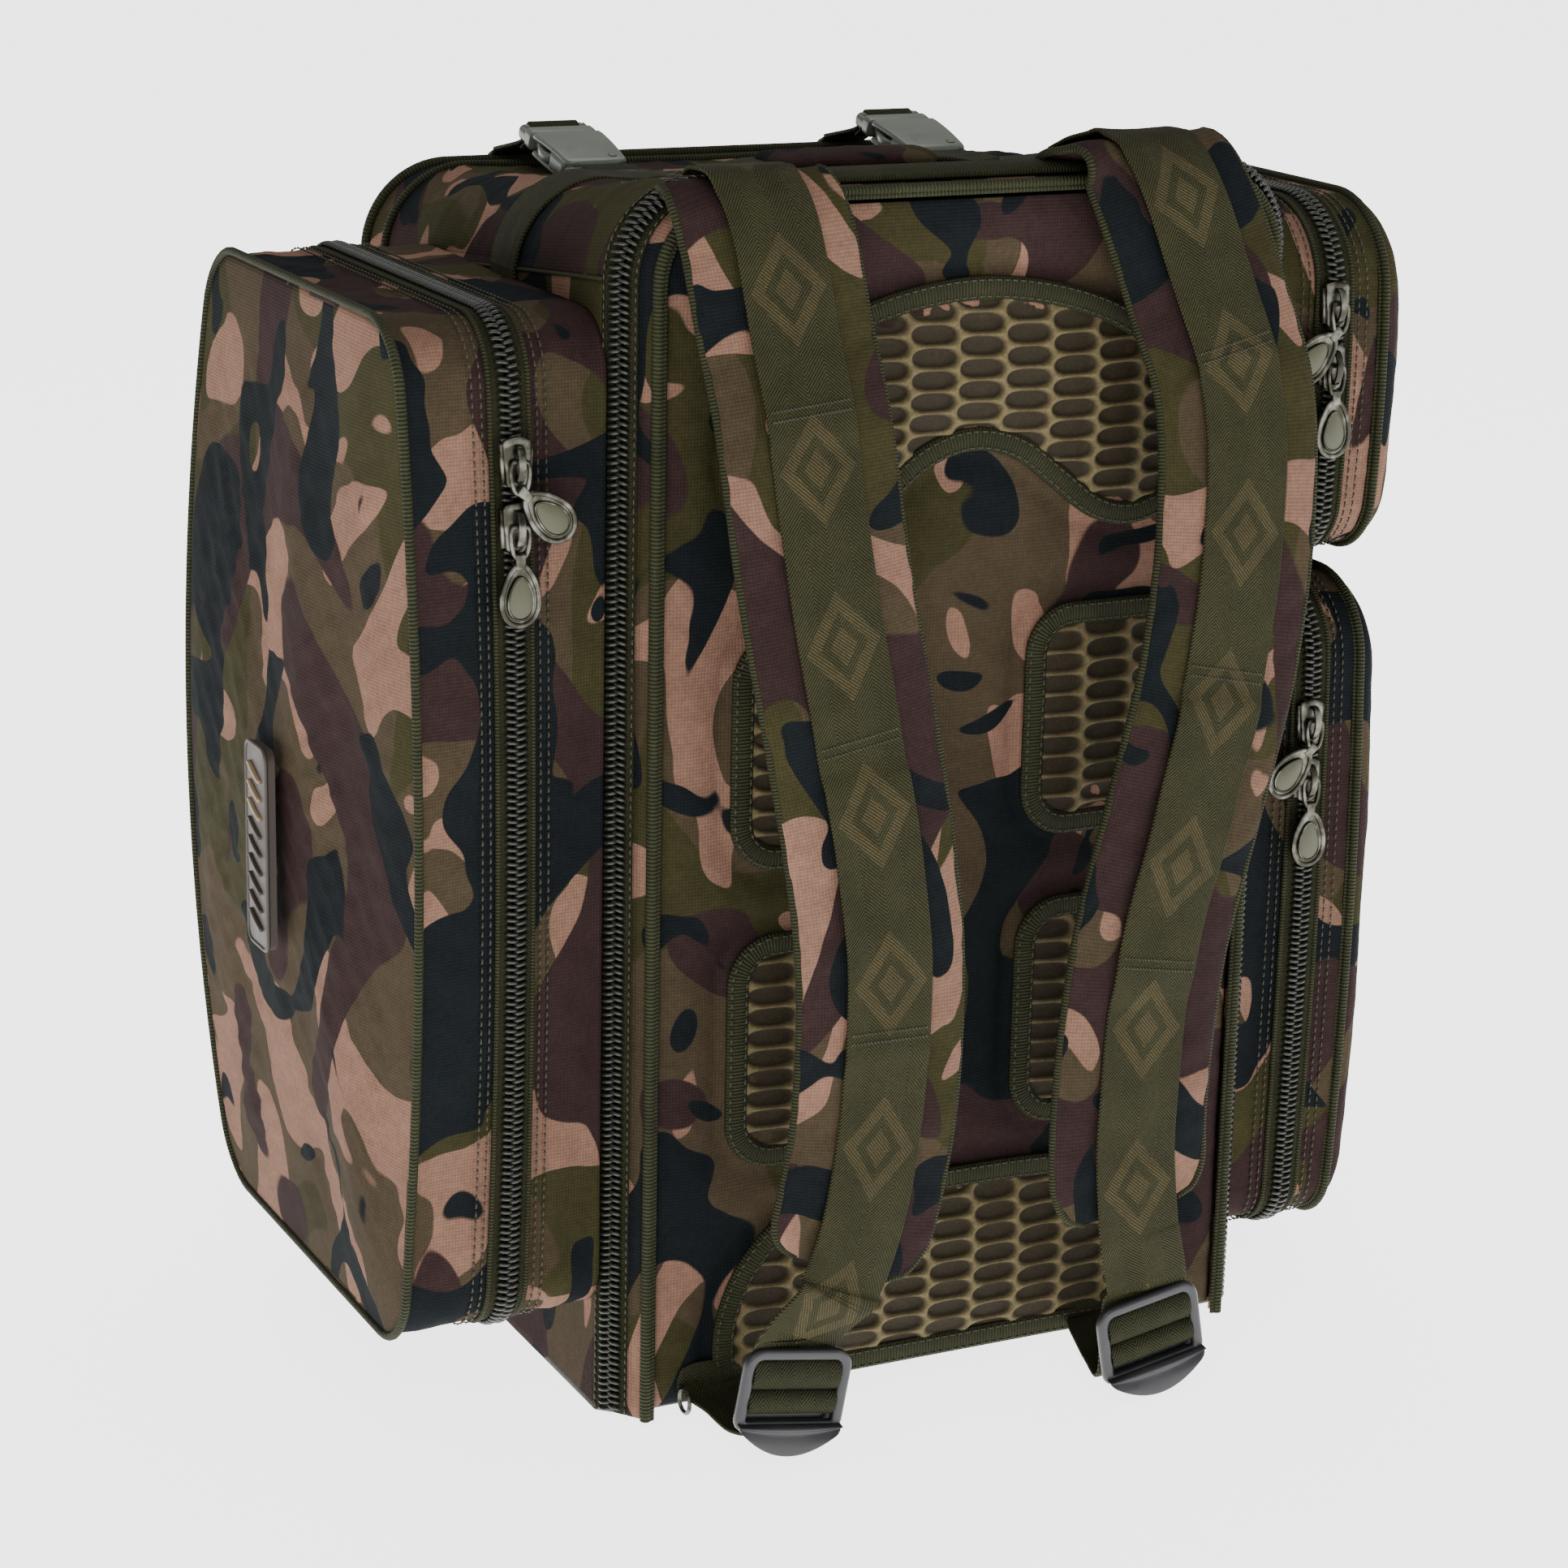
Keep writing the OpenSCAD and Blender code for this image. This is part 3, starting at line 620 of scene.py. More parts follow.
@dataclass(frozen=True)
class Moulded:
    """Injection moulded part: acetal, nylon or soft rubber with a fine spark-eroded grain."""

    name: str
    colour: str
    roughness: float = 0.38
    grain_mm: float = 0.8

    def make(self) -> bpy.types.Material:
        """Even colour with handling marks that vary the gloss."""
        material, tree, shader = start(self.name, IOR=1.5)
        grain = noise(tree, 1 / (self.grain_mm * MM), 2.0)
        marks = noise(tree, 90.0, 6.0, Roughness=0.7)
        paint(tree, shader, linear(self.colour), spread(tree, marks, 0.88, 1.12))
        gloss = spread(tree, marks, self.roughness - 0.08, self.roughness + 0.12)
        tree.links.new(gloss, shader.inputs["Roughness"])
        relief(tree, shader, grain, 0.05, 0.35)
        return material


@dataclass(frozen=True)
class PlatedZinc:
    """Die cast zinc with a tumbled gunmetal plating, worn brighter on its high spots."""

    name: str = "gunmetal_plated_zinc"
    colour: str = "#38372F"
    worn: str = "#7E7C72"

    def make(self) -> bpy.types.Material:
        """Metal with blotches of wear and a fine cast grain."""
        material, tree, shader = start(self.name, Metallic=1.0)
        blotch = noise(tree, 130.0, 3.0)
        mask = step(tree, blotch, 0.56, 0.16)
        colour = blend_colour(tree, mask, linear(self.colour), linear(self.worn))
        tree.links.new(colour, shader.inputs["Base Color"])
        tree.links.new(spread(tree, blotch, 0.28, 0.46), shader.inputs["Roughness"])
        relief(tree, shader, blotch, 0.03, 0.2)
        return material


@dataclass(frozen=True)
class CoatedLining:
    """Polyurethane coated nylon lining: smooth dark cloth with a faint square ripstop."""

    name: str
    colour: str
    ripstop_mm: float = 6.0

    def make(self) -> bpy.types.Material:
        """A thin raised line every few millimetres both ways."""
        material, tree, shader = start(self.name, Roughness=0.6, Specular_IOR_Level=0.3)
        across, along = cloth_uv(tree)
        lines = maths(tree, "MAXIMUM", *(ribs(tree, way, self.ripstop_mm) for way in (across, along)))
        thread = step(tree, lines, 0.97, 0.02)
        paint(tree, shader, linear(self.colour), spread(tree, noise(tree, 40.0, 5.0), 0.8, 1.2))
        relief(tree, shader, thread, 0.3, 0.7)
        return material


@dataclass
class Finishes:
    """Every material of the rucksack, made once."""

    camo: list[bpy.types.Material] = field(default_factory=list)

    def make(self) -> "Finishes":
        """Make the materials; the camouflage comes in cuts shifted from panel to panel."""
        cuts = ("body", "lid", "panel", "left", "left_face", "right", "strap", "front")
        for k, cut in enumerate(cuts):
            shift = (1.7 * k, 0.9 * k, 2.3 * k)
            self.camo.append(PrintedOxford(f"woodland_oxford_{cut}", shift, 0.9 + 0.35 * k).make())
        self.binding = WovenTape("grosgrain_binding", "#2F301E", rib_mm=1.5).make()
        self.piping = WovenTape("corded_piping", "#303220", rib_mm=1.7).make()
        self.zip_tape = WovenTape("zip_tape", "#2B2B1A", Weave.HERRINGBONE, 1.4, 14.0).make()
        self.webbing = WovenTape("herringbone_webbing", "#35341F", Weave.HERRINGBONE, 1.7, 40.0,
                                 "#464029").make()
        self.plain_webbing = WovenTape("plain_webbing", "#313220", Weave.HERRINGBONE, 1.7, 25.0).make()
        self.mesh = AirMesh().make()
        self.coil = Moulded("nylon_zip_coil", "#20211A", 0.34).make()
        self.buckle = Moulded("acetal_buckle", "#565B50", 0.32).make()
        self.lock = Moulded("nylon_ladder_lock", "#202023", 0.36).make()
        self.rubber = Moulded("moulded_rubber", "#3A302A", 0.55).make()
        self.accent = Moulded("moulded_rubber_accent", "#8E7A5C", 0.5).make()
        self.inlay = Moulded("olive_inlay", "#42432C", 0.5).make()
        self.metal = PlatedZinc().make()
        self.lining = CoatedLining("coated_lining", "#2E2E24").make()
        self.base_cloth = CoatedLining("coated_base_cloth", "#26241A", 8.0).make()
        self.thread = Moulded("bonded_thread", "#2F2E1D", 0.6).make()
        return self


# ---------------------------------------------------------------- seam lines


def lockstitch(lift: float, radius: float) -> Patch:
    """A 2.6 mm dash of thread that rises in its middle."""
    return sweep(np.array([[0, -0.15, -1.3], [0, lift, 0], [0, -0.15, 1.3]]),
                 circle_section(radius, 5), (1, 0, 0))


class Rim:
    """A band that runs round a panel or pocket: base(t, s) with t along it and s across it."""

    flip = 1.0

    def base(self, t: Array, s: Array) -> Array:
        """Point on the band; t runs from 0 to 1 and s is millimetres across."""
        raise NotImplementedError

    def face_out(self, s: float) -> None:
        """Set flip so that normals point away from the middle of the band's line at s."""
        t = np.linspace(0.02, 0.98, 97)
        p, _, _, normal = self.frames(t, np.full(97, s))
        self.flip = self.flip * float(np.sign((normal * (p - p.mean(0))).sum()))

    def frames(self, t: Array, s: Array) -> tuple[Array, Array, Array, Array]:
        """Point, direction along, direction across and outward normal, by small differences."""
        p = self.base(t, s)
        along = unit(self.base(t + 1e-3, s) - self.base(t - 1e-3, s))
        across = unit(self.base(t, s + 0.05) - self.base(t, s - 0.05))
        return p, along, across, unit(np.cross(along, across)) * self.flip

    def at(self, t: Array, s: Array, h: Array) -> Array:
        """Point raised off the band by h: base + h * normal."""
        p, _, _, normal = self.frames(t, s)
        return p + np.asarray(h, float)[..., None] * normal

    def strip(self, t0: float, t1: float, s: Sequence[float], h: Sequence[float], count: int = 240,
              closed: bool = False, finish: int = 0) -> Patch:
        """Closed strip: a flat section in (s, h) carried round the band from t0 to t1."""
        t = np.linspace(t0, t1, count, endpoint=not closed)
        tt, ss = np.meshgrid(t, np.array(s, float), indexing="ij")
        hh = np.broadcast_to(np.array(h, float), ss.shape)
        return grid(self.at(tt, ss, hh), (closed, True), not closed, finish=finish).outward()

    def cord(self, t0: float, t1: float, s: float, h: float, r: float, count: int = 260,
             closed: bool = False, finish: int = 0) -> Patch:
        """Round cord of radius r that follows the band."""
        c = circle_section(r, 10)
        return self.strip(t0, t1, s + c[:, 0], h + c[:, 1], count, closed, finish)

    def tape(self, t0: float, t1: float, s0: float, s1: float, h: float = 0.6,
             closed: bool = False, finish: int = 0) -> Patch:
        """Flat tape about a millimetre thick between two lines across the band."""
        w = s1 - s0
        ends = [s0, s0 + 0.12 * w, s0 + 0.5 * w, s1 - 0.12 * w, s1, s1, s0]
        lift = [h * 0.3, h, h * 1.15, h, h * 0.3, -0.8, -0.8]
        return self.strip(t0, t1, ends, lift, closed=closed, finish=finish)

    def length(self, t0: float, t1: float, s: float) -> float:
        """Length of the band's line at s."""
        t = np.linspace(t0, t1, 400)
        return float(lengths(self.base(t, np.full(400, s))[:, None])[-1])

    def places(self, t0: float, t1: float, s: float, pitch: float) -> Array:
        """Values of t spaced evenly by a real pitch."""
        t = np.linspace(t0, t1, 400)
        run = lengths(self.base(t, np.full(400, s))[:, None])
        return np.interp(np.arange(pitch / 2, run[-1], pitch), run, t)

    def teeth(self, t0: float, t1: float, s: float, h: float, side: int, pitch: float = 3.1,
              reach: float = 4.9, finish: int = 0) -> Patch:
        """One row of coil: humps from the tape edge to just past the middle, slanted along."""
        k = np.linspace(0, 1, 5)
        path = np.stack([side * (reach - (reach + 0.9) * k), 1.9 * np.sin(math.pi * (0.12 + 0.8 * k)),
                         1.1 * (k - 0.5)], -1)
        bar = sweep(path, circle_section(0.92, 6), (0, 0, 1))
        t = self.places(t0, t1, s, pitch) + (0.5 * pitch / self.length(t0, t1, s) * (t1 - t0)
                                             if side < 0 else 0.0)
        t = t[t < t1]
        p, along, across, normal = self.frames(t, np.full(t.shape, float(s)))
        return repeat(bar, p + normal * h, across, normal, along, finish)

    def stitches(self, t0: float, t1: float, s: float, h: float, finish: int = 0) -> Patch:
        """A row of lockstitches: 2.6 mm dashes of thread every 4 mm."""
        dash = lockstitch(0.25, 0.42)
        t = self.places(t0, t1, s, STITCH_PITCH)
        p, along, across, normal = self.frames(t, np.full(t.shape, float(s)))
        return repeat(dash, p + normal * h, across, normal, along, finish)


def box_outline(limits: Sequence[float], radii: Sequence[float], count: int = 480) -> Array:
    """Rounded box as a loop that starts in the middle of its high-u side and goes up.

    Args:
        limits: low u, high u, low v, high v.
        radii: corner radii in the order low-low, high-low, high-high, low-high.
        count: number of points, evenly spaced.

    Returns:
        Points, shape (count, 2).
    """
    u0, u1, v0, v1 = limits
    turn = np.linspace(0, math.pi / 2, 12)
    spots = [(u1, v1, radii[2], 0.0, -1, -1), (u0, v1, radii[3], 0.5, 1, -1),
             (u0, v0, radii[0], 1.0, 1, 1), (u1, v0, radii[1], 1.5, -1, 1)]
    parts = [np.array([[u1, (v0 + v1) / 2]])]
    for u, v, r, quarter, du, dv in spots:
        a = turn + quarter * math.pi
        parts.append(np.stack([u + du * r + r * np.cos(a), v + dv * r + r * np.sin(a)], -1))
    parts.append(parts[0])
    loop = np.concatenate(parts)
    run = np.concatenate([[0.0], np.cumsum(np.linalg.norm(np.diff(loop, axis=0), axis=1))])
    want = np.linspace(0, run[-1], count + 1)
    return np.stack([np.interp(want, run, loop[:, k]) for k in range(2)], -1)


@dataclass
class PocketRim(Rim):
    """Band round a pocket: s is the distance out from the wall that the pocket is sewn to."""

    limits: Sequence[float]
    radii: Sequence[float]
    wall: float
    side: int
    depth: float
    bow: float = 0.0
    flare: float = 0.0
    lean: float = 0.0
    front: bool = False

    def __post_init__(self) -> None:
        """Make the outline loop."""
        self.loop = box_outline(self.limits, self.radii)
        self.face_out(self.depth / 2)

    def base(self, t: Array, s: Array) -> Array:
        """Outline point pushed out by s, with sides that bow most at mid-height.

        u moves by bow * w * d * e, and the depth by (flare + lean * e) * w * d, where w is one less
        the square of the height about the middle, d the share of the depth, and e runs from -1 to 1.
        """
        share = np.mod(t, 1.0) * (len(self.loop) - 1)
        u, v = (np.interp(share, np.arange(len(self.loop)), self.loop[:, k]) for k in range(2))
        u0, u1, v0, v1 = self.limits
        e = np.clip((u - (u0 + u1) / 2) / ((u1 - u0) / 2), -1.1, 1.1)
        w = 1 - np.clip((v - (v0 + v1) / 2) / ((v1 - v0) / 2), -1, 1) ** 2
        d = s / self.depth
        u = u + self.bow * w * d * e
        out = self.wall + self.side * (s + (self.flare + self.lean * e) * w * d)
        if self.front:
            return np.stack([u, out, v], -1)
        return np.stack([out, u, v], -1)


@dataclass
class ArchRim(Rim):
    """Sloping band round the back opening: s runs from the panel's edge out to the body."""

    inner: tuple[float, float, float, float]
    outer: tuple[float, float, float, float]
    foot: float
    width: float = 26.0

    def base(self, t: Array, s: Array) -> Array:
        """Arch of half width, top height and corner radius, all mixed from panel edge to body."""
        f = s / self.width
        half, top, r, y = (a + (b - a) * f for a, b in zip(self.inner, self.outer))
        q = np.clip(t, -0.02, 1.02)
        left = np.minimum(q, 1 - q)
        sign = np.where(q < 0.5, -1.0, 1.0)
        rise = np.clip(left / SIDE_SHARE, -0.05, 1)
        turn = np.clip((left - SIDE_SHARE) / 0.04, 0, 1) * math.pi / 2
        level = np.clip((left - 0.40) / 0.10, 0, 1)
        x = half - r * (1 - np.cos(turn)) - level * (half - r)
        z = self.foot + rise * (top - r - self.foot) + r * np.sin(turn)
        return np.stack([sign * x, y + 0 * x, z], -1)


# ---------------------------------------------------------------- sub-assemblies


@dataclass
class Piece:
    """What fixes a finished object to the frame."""

    obj: Obj
    body: str
    stands_for: Sequence[str] = ()
    slot: str = ""
    pad: Optional[float] = None

    def fix(self) -> None:
        """Ride on the body and replace the CAD nodes."""
        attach(self.obj, self.body)
        if self.stands_for:
            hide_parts(*self.stands_for)
        log.info("%s rides on %s", self.obj.name, self.body)


@dataclass
class Sizes:
    """Main sizes, read from the frame."""

    def __post_init__(self) -> None:
        """Read the measures that the pieces are set out from."""
        side_low, side_high = node_box("right_side_wall")
        cord_high = node_box("back_panel_piping")[1]
        front_high = node_box("front_wall")[1]
        self.half = side_high[0]
        self.side_y = side_low[1]
        self.front_y = front_high[1]
        self.top = node_box("top_panel")[1][2]
        self.front_top = front_high[2]
        self.back_y = node_box("back_panel")[0][1]
        self.panel_top = cord_high[2]
        self.panel_half = cord_high[0]

    def lid_z(self, y: Array) -> Array:
        """Height of the lid at y."""
        share = (y - self.side_y) / (self.front_y - self.side_y)
        return self.top + (self.front_top - self.top) * share


@dataclass
class BodyShell:
    """Side walls, lid, front wall, base and front piping of the padded body."""

    sizes: Sizes
    looks: Finishes
    corner_r: float = 40.0
    lid_sag: float = 9.0
    side_fill: float = 3.0
    wall: float = 3.5

    def skin(self, t: Array, y: Array, grow: float = 0.0) -> Array:
        """Arch outline at y: straight sides, quarter-circle corners, and a lid that sags.

        t runs from 0 at the left foot to 1 at the right foot.
        """
        s = self.sizes
        r, half = self.corner_r + grow, s.half + grow
        top = s.lid_z(y) + grow
        left = np.minimum(t, 1 - t)
        sign = np.where(t < 0.5, -1.0, 1.0)
        rise = np.clip(left / SIDE_SHARE, 0, 1)
        turn = np.clip((left - SIDE_SHARE) / 0.05, 0, 1) * math.pi / 2
        level = np.clip((left - 0.41) / 0.09, 0, 1)
        x = half - r * (1 - np.cos(turn)) - level * (half - r)
        z = 1.0 + rise * (top - r - 1.0) + r * np.sin(turn)
        depth = np.clip((y - s.side_y) / (s.front_y - s.side_y), 0, 1)
        middle = np.sin(math.pi * depth)
        z = z - self.lid_sag * middle * level ** 0.7 - 3.0 * middle * (turn > 0.1) * (1 - level)
        x = x + self.side_fill * middle * np.sin(math.pi * rise) * (level <= 0) * (turn <= 0)
        return np.stack([sign * x, y + 0 * x, z], -1)

    def sheet(self, name: str, t0: float, t1: float, y0: float, y1: float, cut: int, rows: int,
              cols: int, nodes: Sequence[str], look: Sequence[float], seed: int) -> None:
        """One cut of the shell with small wrinkles that die away at its seams."""
        t, y = np.meshgrid(np.linspace(t0, t1, rows), np.linspace(y0, y1, cols), indexing="ij")
        p = self.skin(t, y)
        edge = np.minimum(1, 6 * np.sin(math.pi * (t - t0) / (t1 - t0)) *
                          np.sin(math.pi * (y - y0) / (y1 - y0)) + 0.15)
        h = (0.9 * crumple(p, 90, seed) + 0.5 * crumple(p, 34, seed + 1, True)) * edge
        normal = normals_of(p)
        normal = normal * np.sign((normal * (p - [0, 0, 250])).sum(-1, keepdims=True))
        obj = build(name, [grid(p + normal * h[..., None]).facing(look)],
                    [self.looks.camo[cut], self.looks.lining])
        thicken(obj, self.wall, 1)
        Piece(obj, "pack_body", nodes, "camo_shell").fix()

    def build_all(self) -> None:
        """Make the five cuts, the front piping and the lid's seam piping."""
        s = self.sizes
        back, front = s.side_y, s.front_y - 3
        self.sheet("left_side_panel", 0.0, SIDE_SHARE, back, front, 0, 120, 80, ["left_side_wall"],
                   (-1, 0, 0), 11)
        self.sheet("right_side_panel", 1 - SIDE_SHARE, 1.0, back, front, 0, 120, 80, ["right_side_wall"],
                   (1, 0, 0), 13)
        self.sheet("lid_panel", SIDE_SHARE, 1 - SIDE_SHARE, back, front, 1, 150, 90, ["top_panel"],
                   (0, 0, 1), 17)
        self.front_wall()
        self.base()
        self.rims()

    def front_wall(self) -> None:
        """Front wall inside the front rim, slightly filled out."""
        s = self.sizes
        t = np.linspace(0, 1, 220)
        rim = self.skin(t, np.full(220, s.front_y - 3.0))
        middle = np.array([0.0, s.front_y - 3.0, s.front_top / 2])
        k = np.linspace(1, 0, 46)[:, None, None]
        p = middle + (rim - middle) * k + np.array([0, 3.0, 0]) * (1 - k ** 2) ** 0.6
        flat = np.stack([p[..., 0], p[..., 2]], -1)
        loop = grid(np.concatenate([p, p[:, :1]], 1), uv=np.concatenate([flat, flat[:, :1]], 1))
        obj = build("front_panel", [loop.facing((0, 1, 0))], [self.looks.camo[7], self.looks.lining])
        thicken(obj, self.wall, 1)
        Piece(obj, "pack_body", ["front_wall"], "camo_shell").fix()

    def base(self) -> None:
        """Base board in coated cloth, a rounded slab that follows the body's outline."""
        s = self.sizes
        low, high = node_box("base_panel")
        inset = 10.0
        outline = np.array([[-s.half, s.side_y], [-s.half + inset, low[1]], [s.half - inset, low[1]],
                            [s.half, s.side_y], [s.half, high[1]], [-s.half, high[1]]])
        loop = np.concatenate([np.linspace(a, b, 12, endpoint=False)
                               for a, b in zip(outline, np.roll(outline, -1, 0))])
        levels = [(0.0, 0.985), (0.0, 0.995), (1.5, 1.0), (high[2] - 1, 1.0), (high[2], 0.99)]
        p = np.array([[[x * k, y * k, z] for x, y in loop] for z, k in levels])
        obj = build("base_board", [grid(p, (False, True), True).outward()], [self.looks.base_cloth])
        Piece(obj, "pack_body", ["base_panel"], "camo_base").fix()

    def rims(self) -> None:
        """Corded seam round the front rim, a second one behind it, and lid seams along both sides."""
        s = self.sizes
        t = np.linspace(0.0, 1.0, 300)
        cords = []
        for y, grow, r in ((s.front_y - 1.0, 0.8, 2.6), (s.front_y - 26.0, 0.9, 2.0)):
            path = self.skin(t, np.full(t.shape, y), grow)
            cords.append(sweep(path, circle_section(r, 10), (0, 1, 0)))
        for edge in (SIDE_SHARE, 1 - SIDE_SHARE):
            y = np.linspace(s.side_y, s.front_y - 3, 120)
            path = self.skin(np.full(120, edge), y, 0.3)
            cords.append(sweep(path, circle_section(0.9, 8), (1, 0, 0)))
        obj = build("rim_piping", cords, [self.looks.piping])
        Piece(obj, "pack_body", ["front_piping"], "olive_binding").fix()


@dataclass
class BackOpening:
    """The sloping band round the back opening: body side, zip chain and panel side."""

    sizes: Sizes
    looks: Finishes
    chain_s: float = 17.3

    def rim(self) -> ArchRim:
        """The band as a rim, from the panel's edge to the body's edge."""
        s = self.sizes
        return ArchRim((s.panel_half, s.panel_top, 34.0, s.back_y),
                       (s.half, s.top, 40.0, s.side_y), 2.0)

    def build_all(self) -> None:
        """Body-side cloth, tape and teeth ride on the body; the rest rides on the folding panel."""
        rim, c = self.rim(), self.chain_s
        looks = self.looks
        body = [rim.strip(0, 1, [c + 8, 25, 26.5, 26.5, c + 8], [1.0, 1.2, -0.4, -2.5, -1.5]),
                rim.tape(0, 1, c + 1.2, c + 8.6, 1.0, finish=1),
                rim.teeth(0, 1, c, 1.0, 1, finish=2),
                rim.stitches(0, 1, c + 7.4, 1.3, finish=3),
                rim.strip(0.408, 0.592, [c - 9, c - 8, c - 2, c + 5, c + 9, c + 9, c - 9],
                          [2.6, 4.0, 4.6, 3.6, 1.6, 0.8, 1.8], finish=4)]
        obj = build("main_zip_body_side", body,
                    [looks.camo[0], looks.zip_tape, looks.coil, looks.thread, looks.binding])
        Piece(obj, "pack_body", ["main_zip"], "zip_chain").fix()
        flap = [rim.tape(0, 1, c - 8.6, c - 1.2, 1.0, finish=0),
                rim.teeth(0, 1, c, 1.0, -1, finish=1),
                rim.strip(0, 1, [1.5, 2.5, c - 8.4, c - 8.4, 1.5], [0.8, 1.3, 1.1, -1.6, -2.5], finish=2),
                rim.stitches(0, 1, c - 7.4, 1.3, finish=3)]
        obj = build("main_zip_panel_side", flap,
                    [looks.zip_tape, looks.coil, looks.camo[2], looks.thread])
        Piece(obj, "back_flap", (), "zip_chain").fix()
        cord = [rim.cord(0, 1, -0.6, 1.6, 2.5), rim.strip(0, 1, [-3.5, -0.5, -0.5, -3.5],
                                                          [0.4, 1.6, -1.2, -1.2])]
        obj = build("back_panel_cord", cord, [looks.piping])
        Piece(obj, "back_flap", ["back_panel_piping"], "olive_binding").fix()


def half_window(points: Sequence[Sequence[float]]) -> Array:
    """A window outline mirrored about the middle line from its right half, as a smooth loop."""
    right = np.array(points, float)
    left = right[1:-1][::-1] * [-1, 1]
    return through(np.concatenate([right, left]), 200, closed=True)


@dataclass
class BackPanel:
    """Padded back panel with its cushioned mesh windows and their bindings."""

    sizes: Sizes
    looks: Finishes
    cell_w: float = 23.0
    cell_h: float = 9.6
    thickness: float = 8.0

    def windows(self) -> list[Array]:
        """Outlines of the six windows in (x, z): arched top, four upright pads, curved foot."""
        top = half_window([(0, 503), (40, 498), (75, 485), (103, 463), (114, 440), (112, 414),
                           (98, 397), (78, 391), (58, 396), (38, 411), (20, 424), (0, 429)])
        foot = half_window([(0, 99), (60, 97), (86, 88), (104, 70), (114, 48), (116, 26), (110, 13),
                            (96, 9), (50, 9), (0, 9)])
        pads = [box_outline((30, 112, z0, z1), (22,) * 4, 200)[:-1] for z0, z1 in ((252, 357), (115, 222))]
        return [top, foot] + pads + [p * [-1, 1] for p in pads]

    def edge_distance(self, x: Array, z: Array, loop: Array) -> Array:
        """Distance to a window's outline, negative inside, from its nearest outline point."""
        d = np.hypot(x[..., None] - loop[:, 0], z[..., None] - loop[:, 1])
        near = d.argmin(-1)
        tangent = directions(loop, True)
        dx, dz = x - loop[near, 0], z - loop[near, 1]
        side = dx * tangent[near, 1] - dz * tangent[near, 0]
        area = np.sum(loop[:, 0] * np.roll(loop[:, 1], -1) - np.roll(loop[:, 0], -1) * loop[:, 1])
        return d.min(-1) * np.where(side * np.sign(area) > 0, 1.0, -1.0)

    def face(self) -> None:
        """Camouflage face: an arched grid that puffs out between the windows."""
        s = self.sizes
        rows, cols = 200, 130
        z = 7 + (s.panel_top - 11) * (1 - (1 - np.linspace(0, 1, rows)) ** 1.25)
        r, half, top = 32.0, s.panel_half - 2.5, s.panel_top - 3.5
        drop = np.clip(z - (top - r), 0, r)
        width = half - r + np.sqrt(np.maximum(r * r - drop ** 2, 0.5))
        u = np.linspace(-1, 1, cols)
        x = width[:, None] * u[None, :]
        zz = np.broadcast_to(z[:, None], x.shape)
        near = np.min([np.abs(self.edge_distance(x, zz, w) - 5.0) for w in self.windows()], axis=0)
        rim = np.minimum(width[:, None] * (1 - np.abs(u)), np.minimum(top - zz, zz - 6))
        puff = 4.6 * (1 - np.exp(-np.clip(near, 0, None) / 11)) * (1 - np.exp(-np.clip(rim, 0, None) / 9))
        p = np.stack([x, s.back_y + 0.8 + 0 * x, zz], -1)
        puff = puff + 0.7 * crumple(p, 70, 23) + 0.45 * crumple(p, 26, 29, True)
        p[..., 1] -= puff
        sheet = grid(p, uv=p[..., [0, 2]]).facing((0, -1, 0))
        obj = build("back_panel_pad", [sheet], [self.looks.camo[2], self.looks.lining])
        thicken(obj, self.thickness, 1)
        Piece(obj, "back_flap", ["back_panel"], "camo_shell", 0.4).fix()

    def mesh_pad(self, loop: Array, seed: int) -> tuple[Patch, Array]:
        """One cushion of air mesh: rings from its edge inwards, with oval cells sunk in rows.

        The relief is 1 on the strands and falls to 0 inside each oval, which is
        (x / half width)^3 + (z / half height)^2.2 < 0.92 in a brick pattern.
        """
        low, high = loop.min(0) - 1, loop.max(0) + 1
        nx, nz = int((high[0] - low[0]) / 1.15), int((high[1] - low[1]) / 1.0)
        x, z = np.meshgrid(np.linspace(low[0], high[0], nx), np.linspace(low[1], high[1], nz))
        inside = -self.edge_distance(x, z, loop)
        wave = 1.2 * np.sin(x / 31.0 + seed) + 0.8 * np.sin(z / 23.0)
        column = np.floor(x / self.cell_w + 0.5)
        cx = x - column * self.cell_w
        row = (z + wave) / self.cell_h + 0.5 * np.mod(column, 2)
        cz = (row - np.floor(row) - 0.5) * self.cell_h
        oval = (np.abs(cx) / (self.cell_w * 0.475)) ** 3.0 + (np.abs(cz) / (self.cell_h * 0.44)) ** 2.2
        relief = 1 / (1 + np.exp(-(oval - 0.92) * 7.0))
        crown = 1 - np.exp(-np.clip(inside - 5, 0, None) / 12)
        y = self.sizes.back_y - 1.2 - 6.5 * crown - 3.4 * (relief - 0.5) * np.clip(crown * 1.5, 0.3, 1)
        keep = inside[:-1, :-1] > 4.0
        p = np.stack([x, y, z], -1)
        patch = grid(p, uv=p[..., [0, 2]])
        mask = keep.ravel()
        used = np.unique(patch.quads[mask])
        index = np.full(len(patch.points), -1)
        index[used] = np.arange(len(used))
        patch = Patch(patch.points[used], index[patch.quads[mask]], patch.quad_uv[mask])
        return patch.facing((0, -1, 0)), relief.ravel()[used]

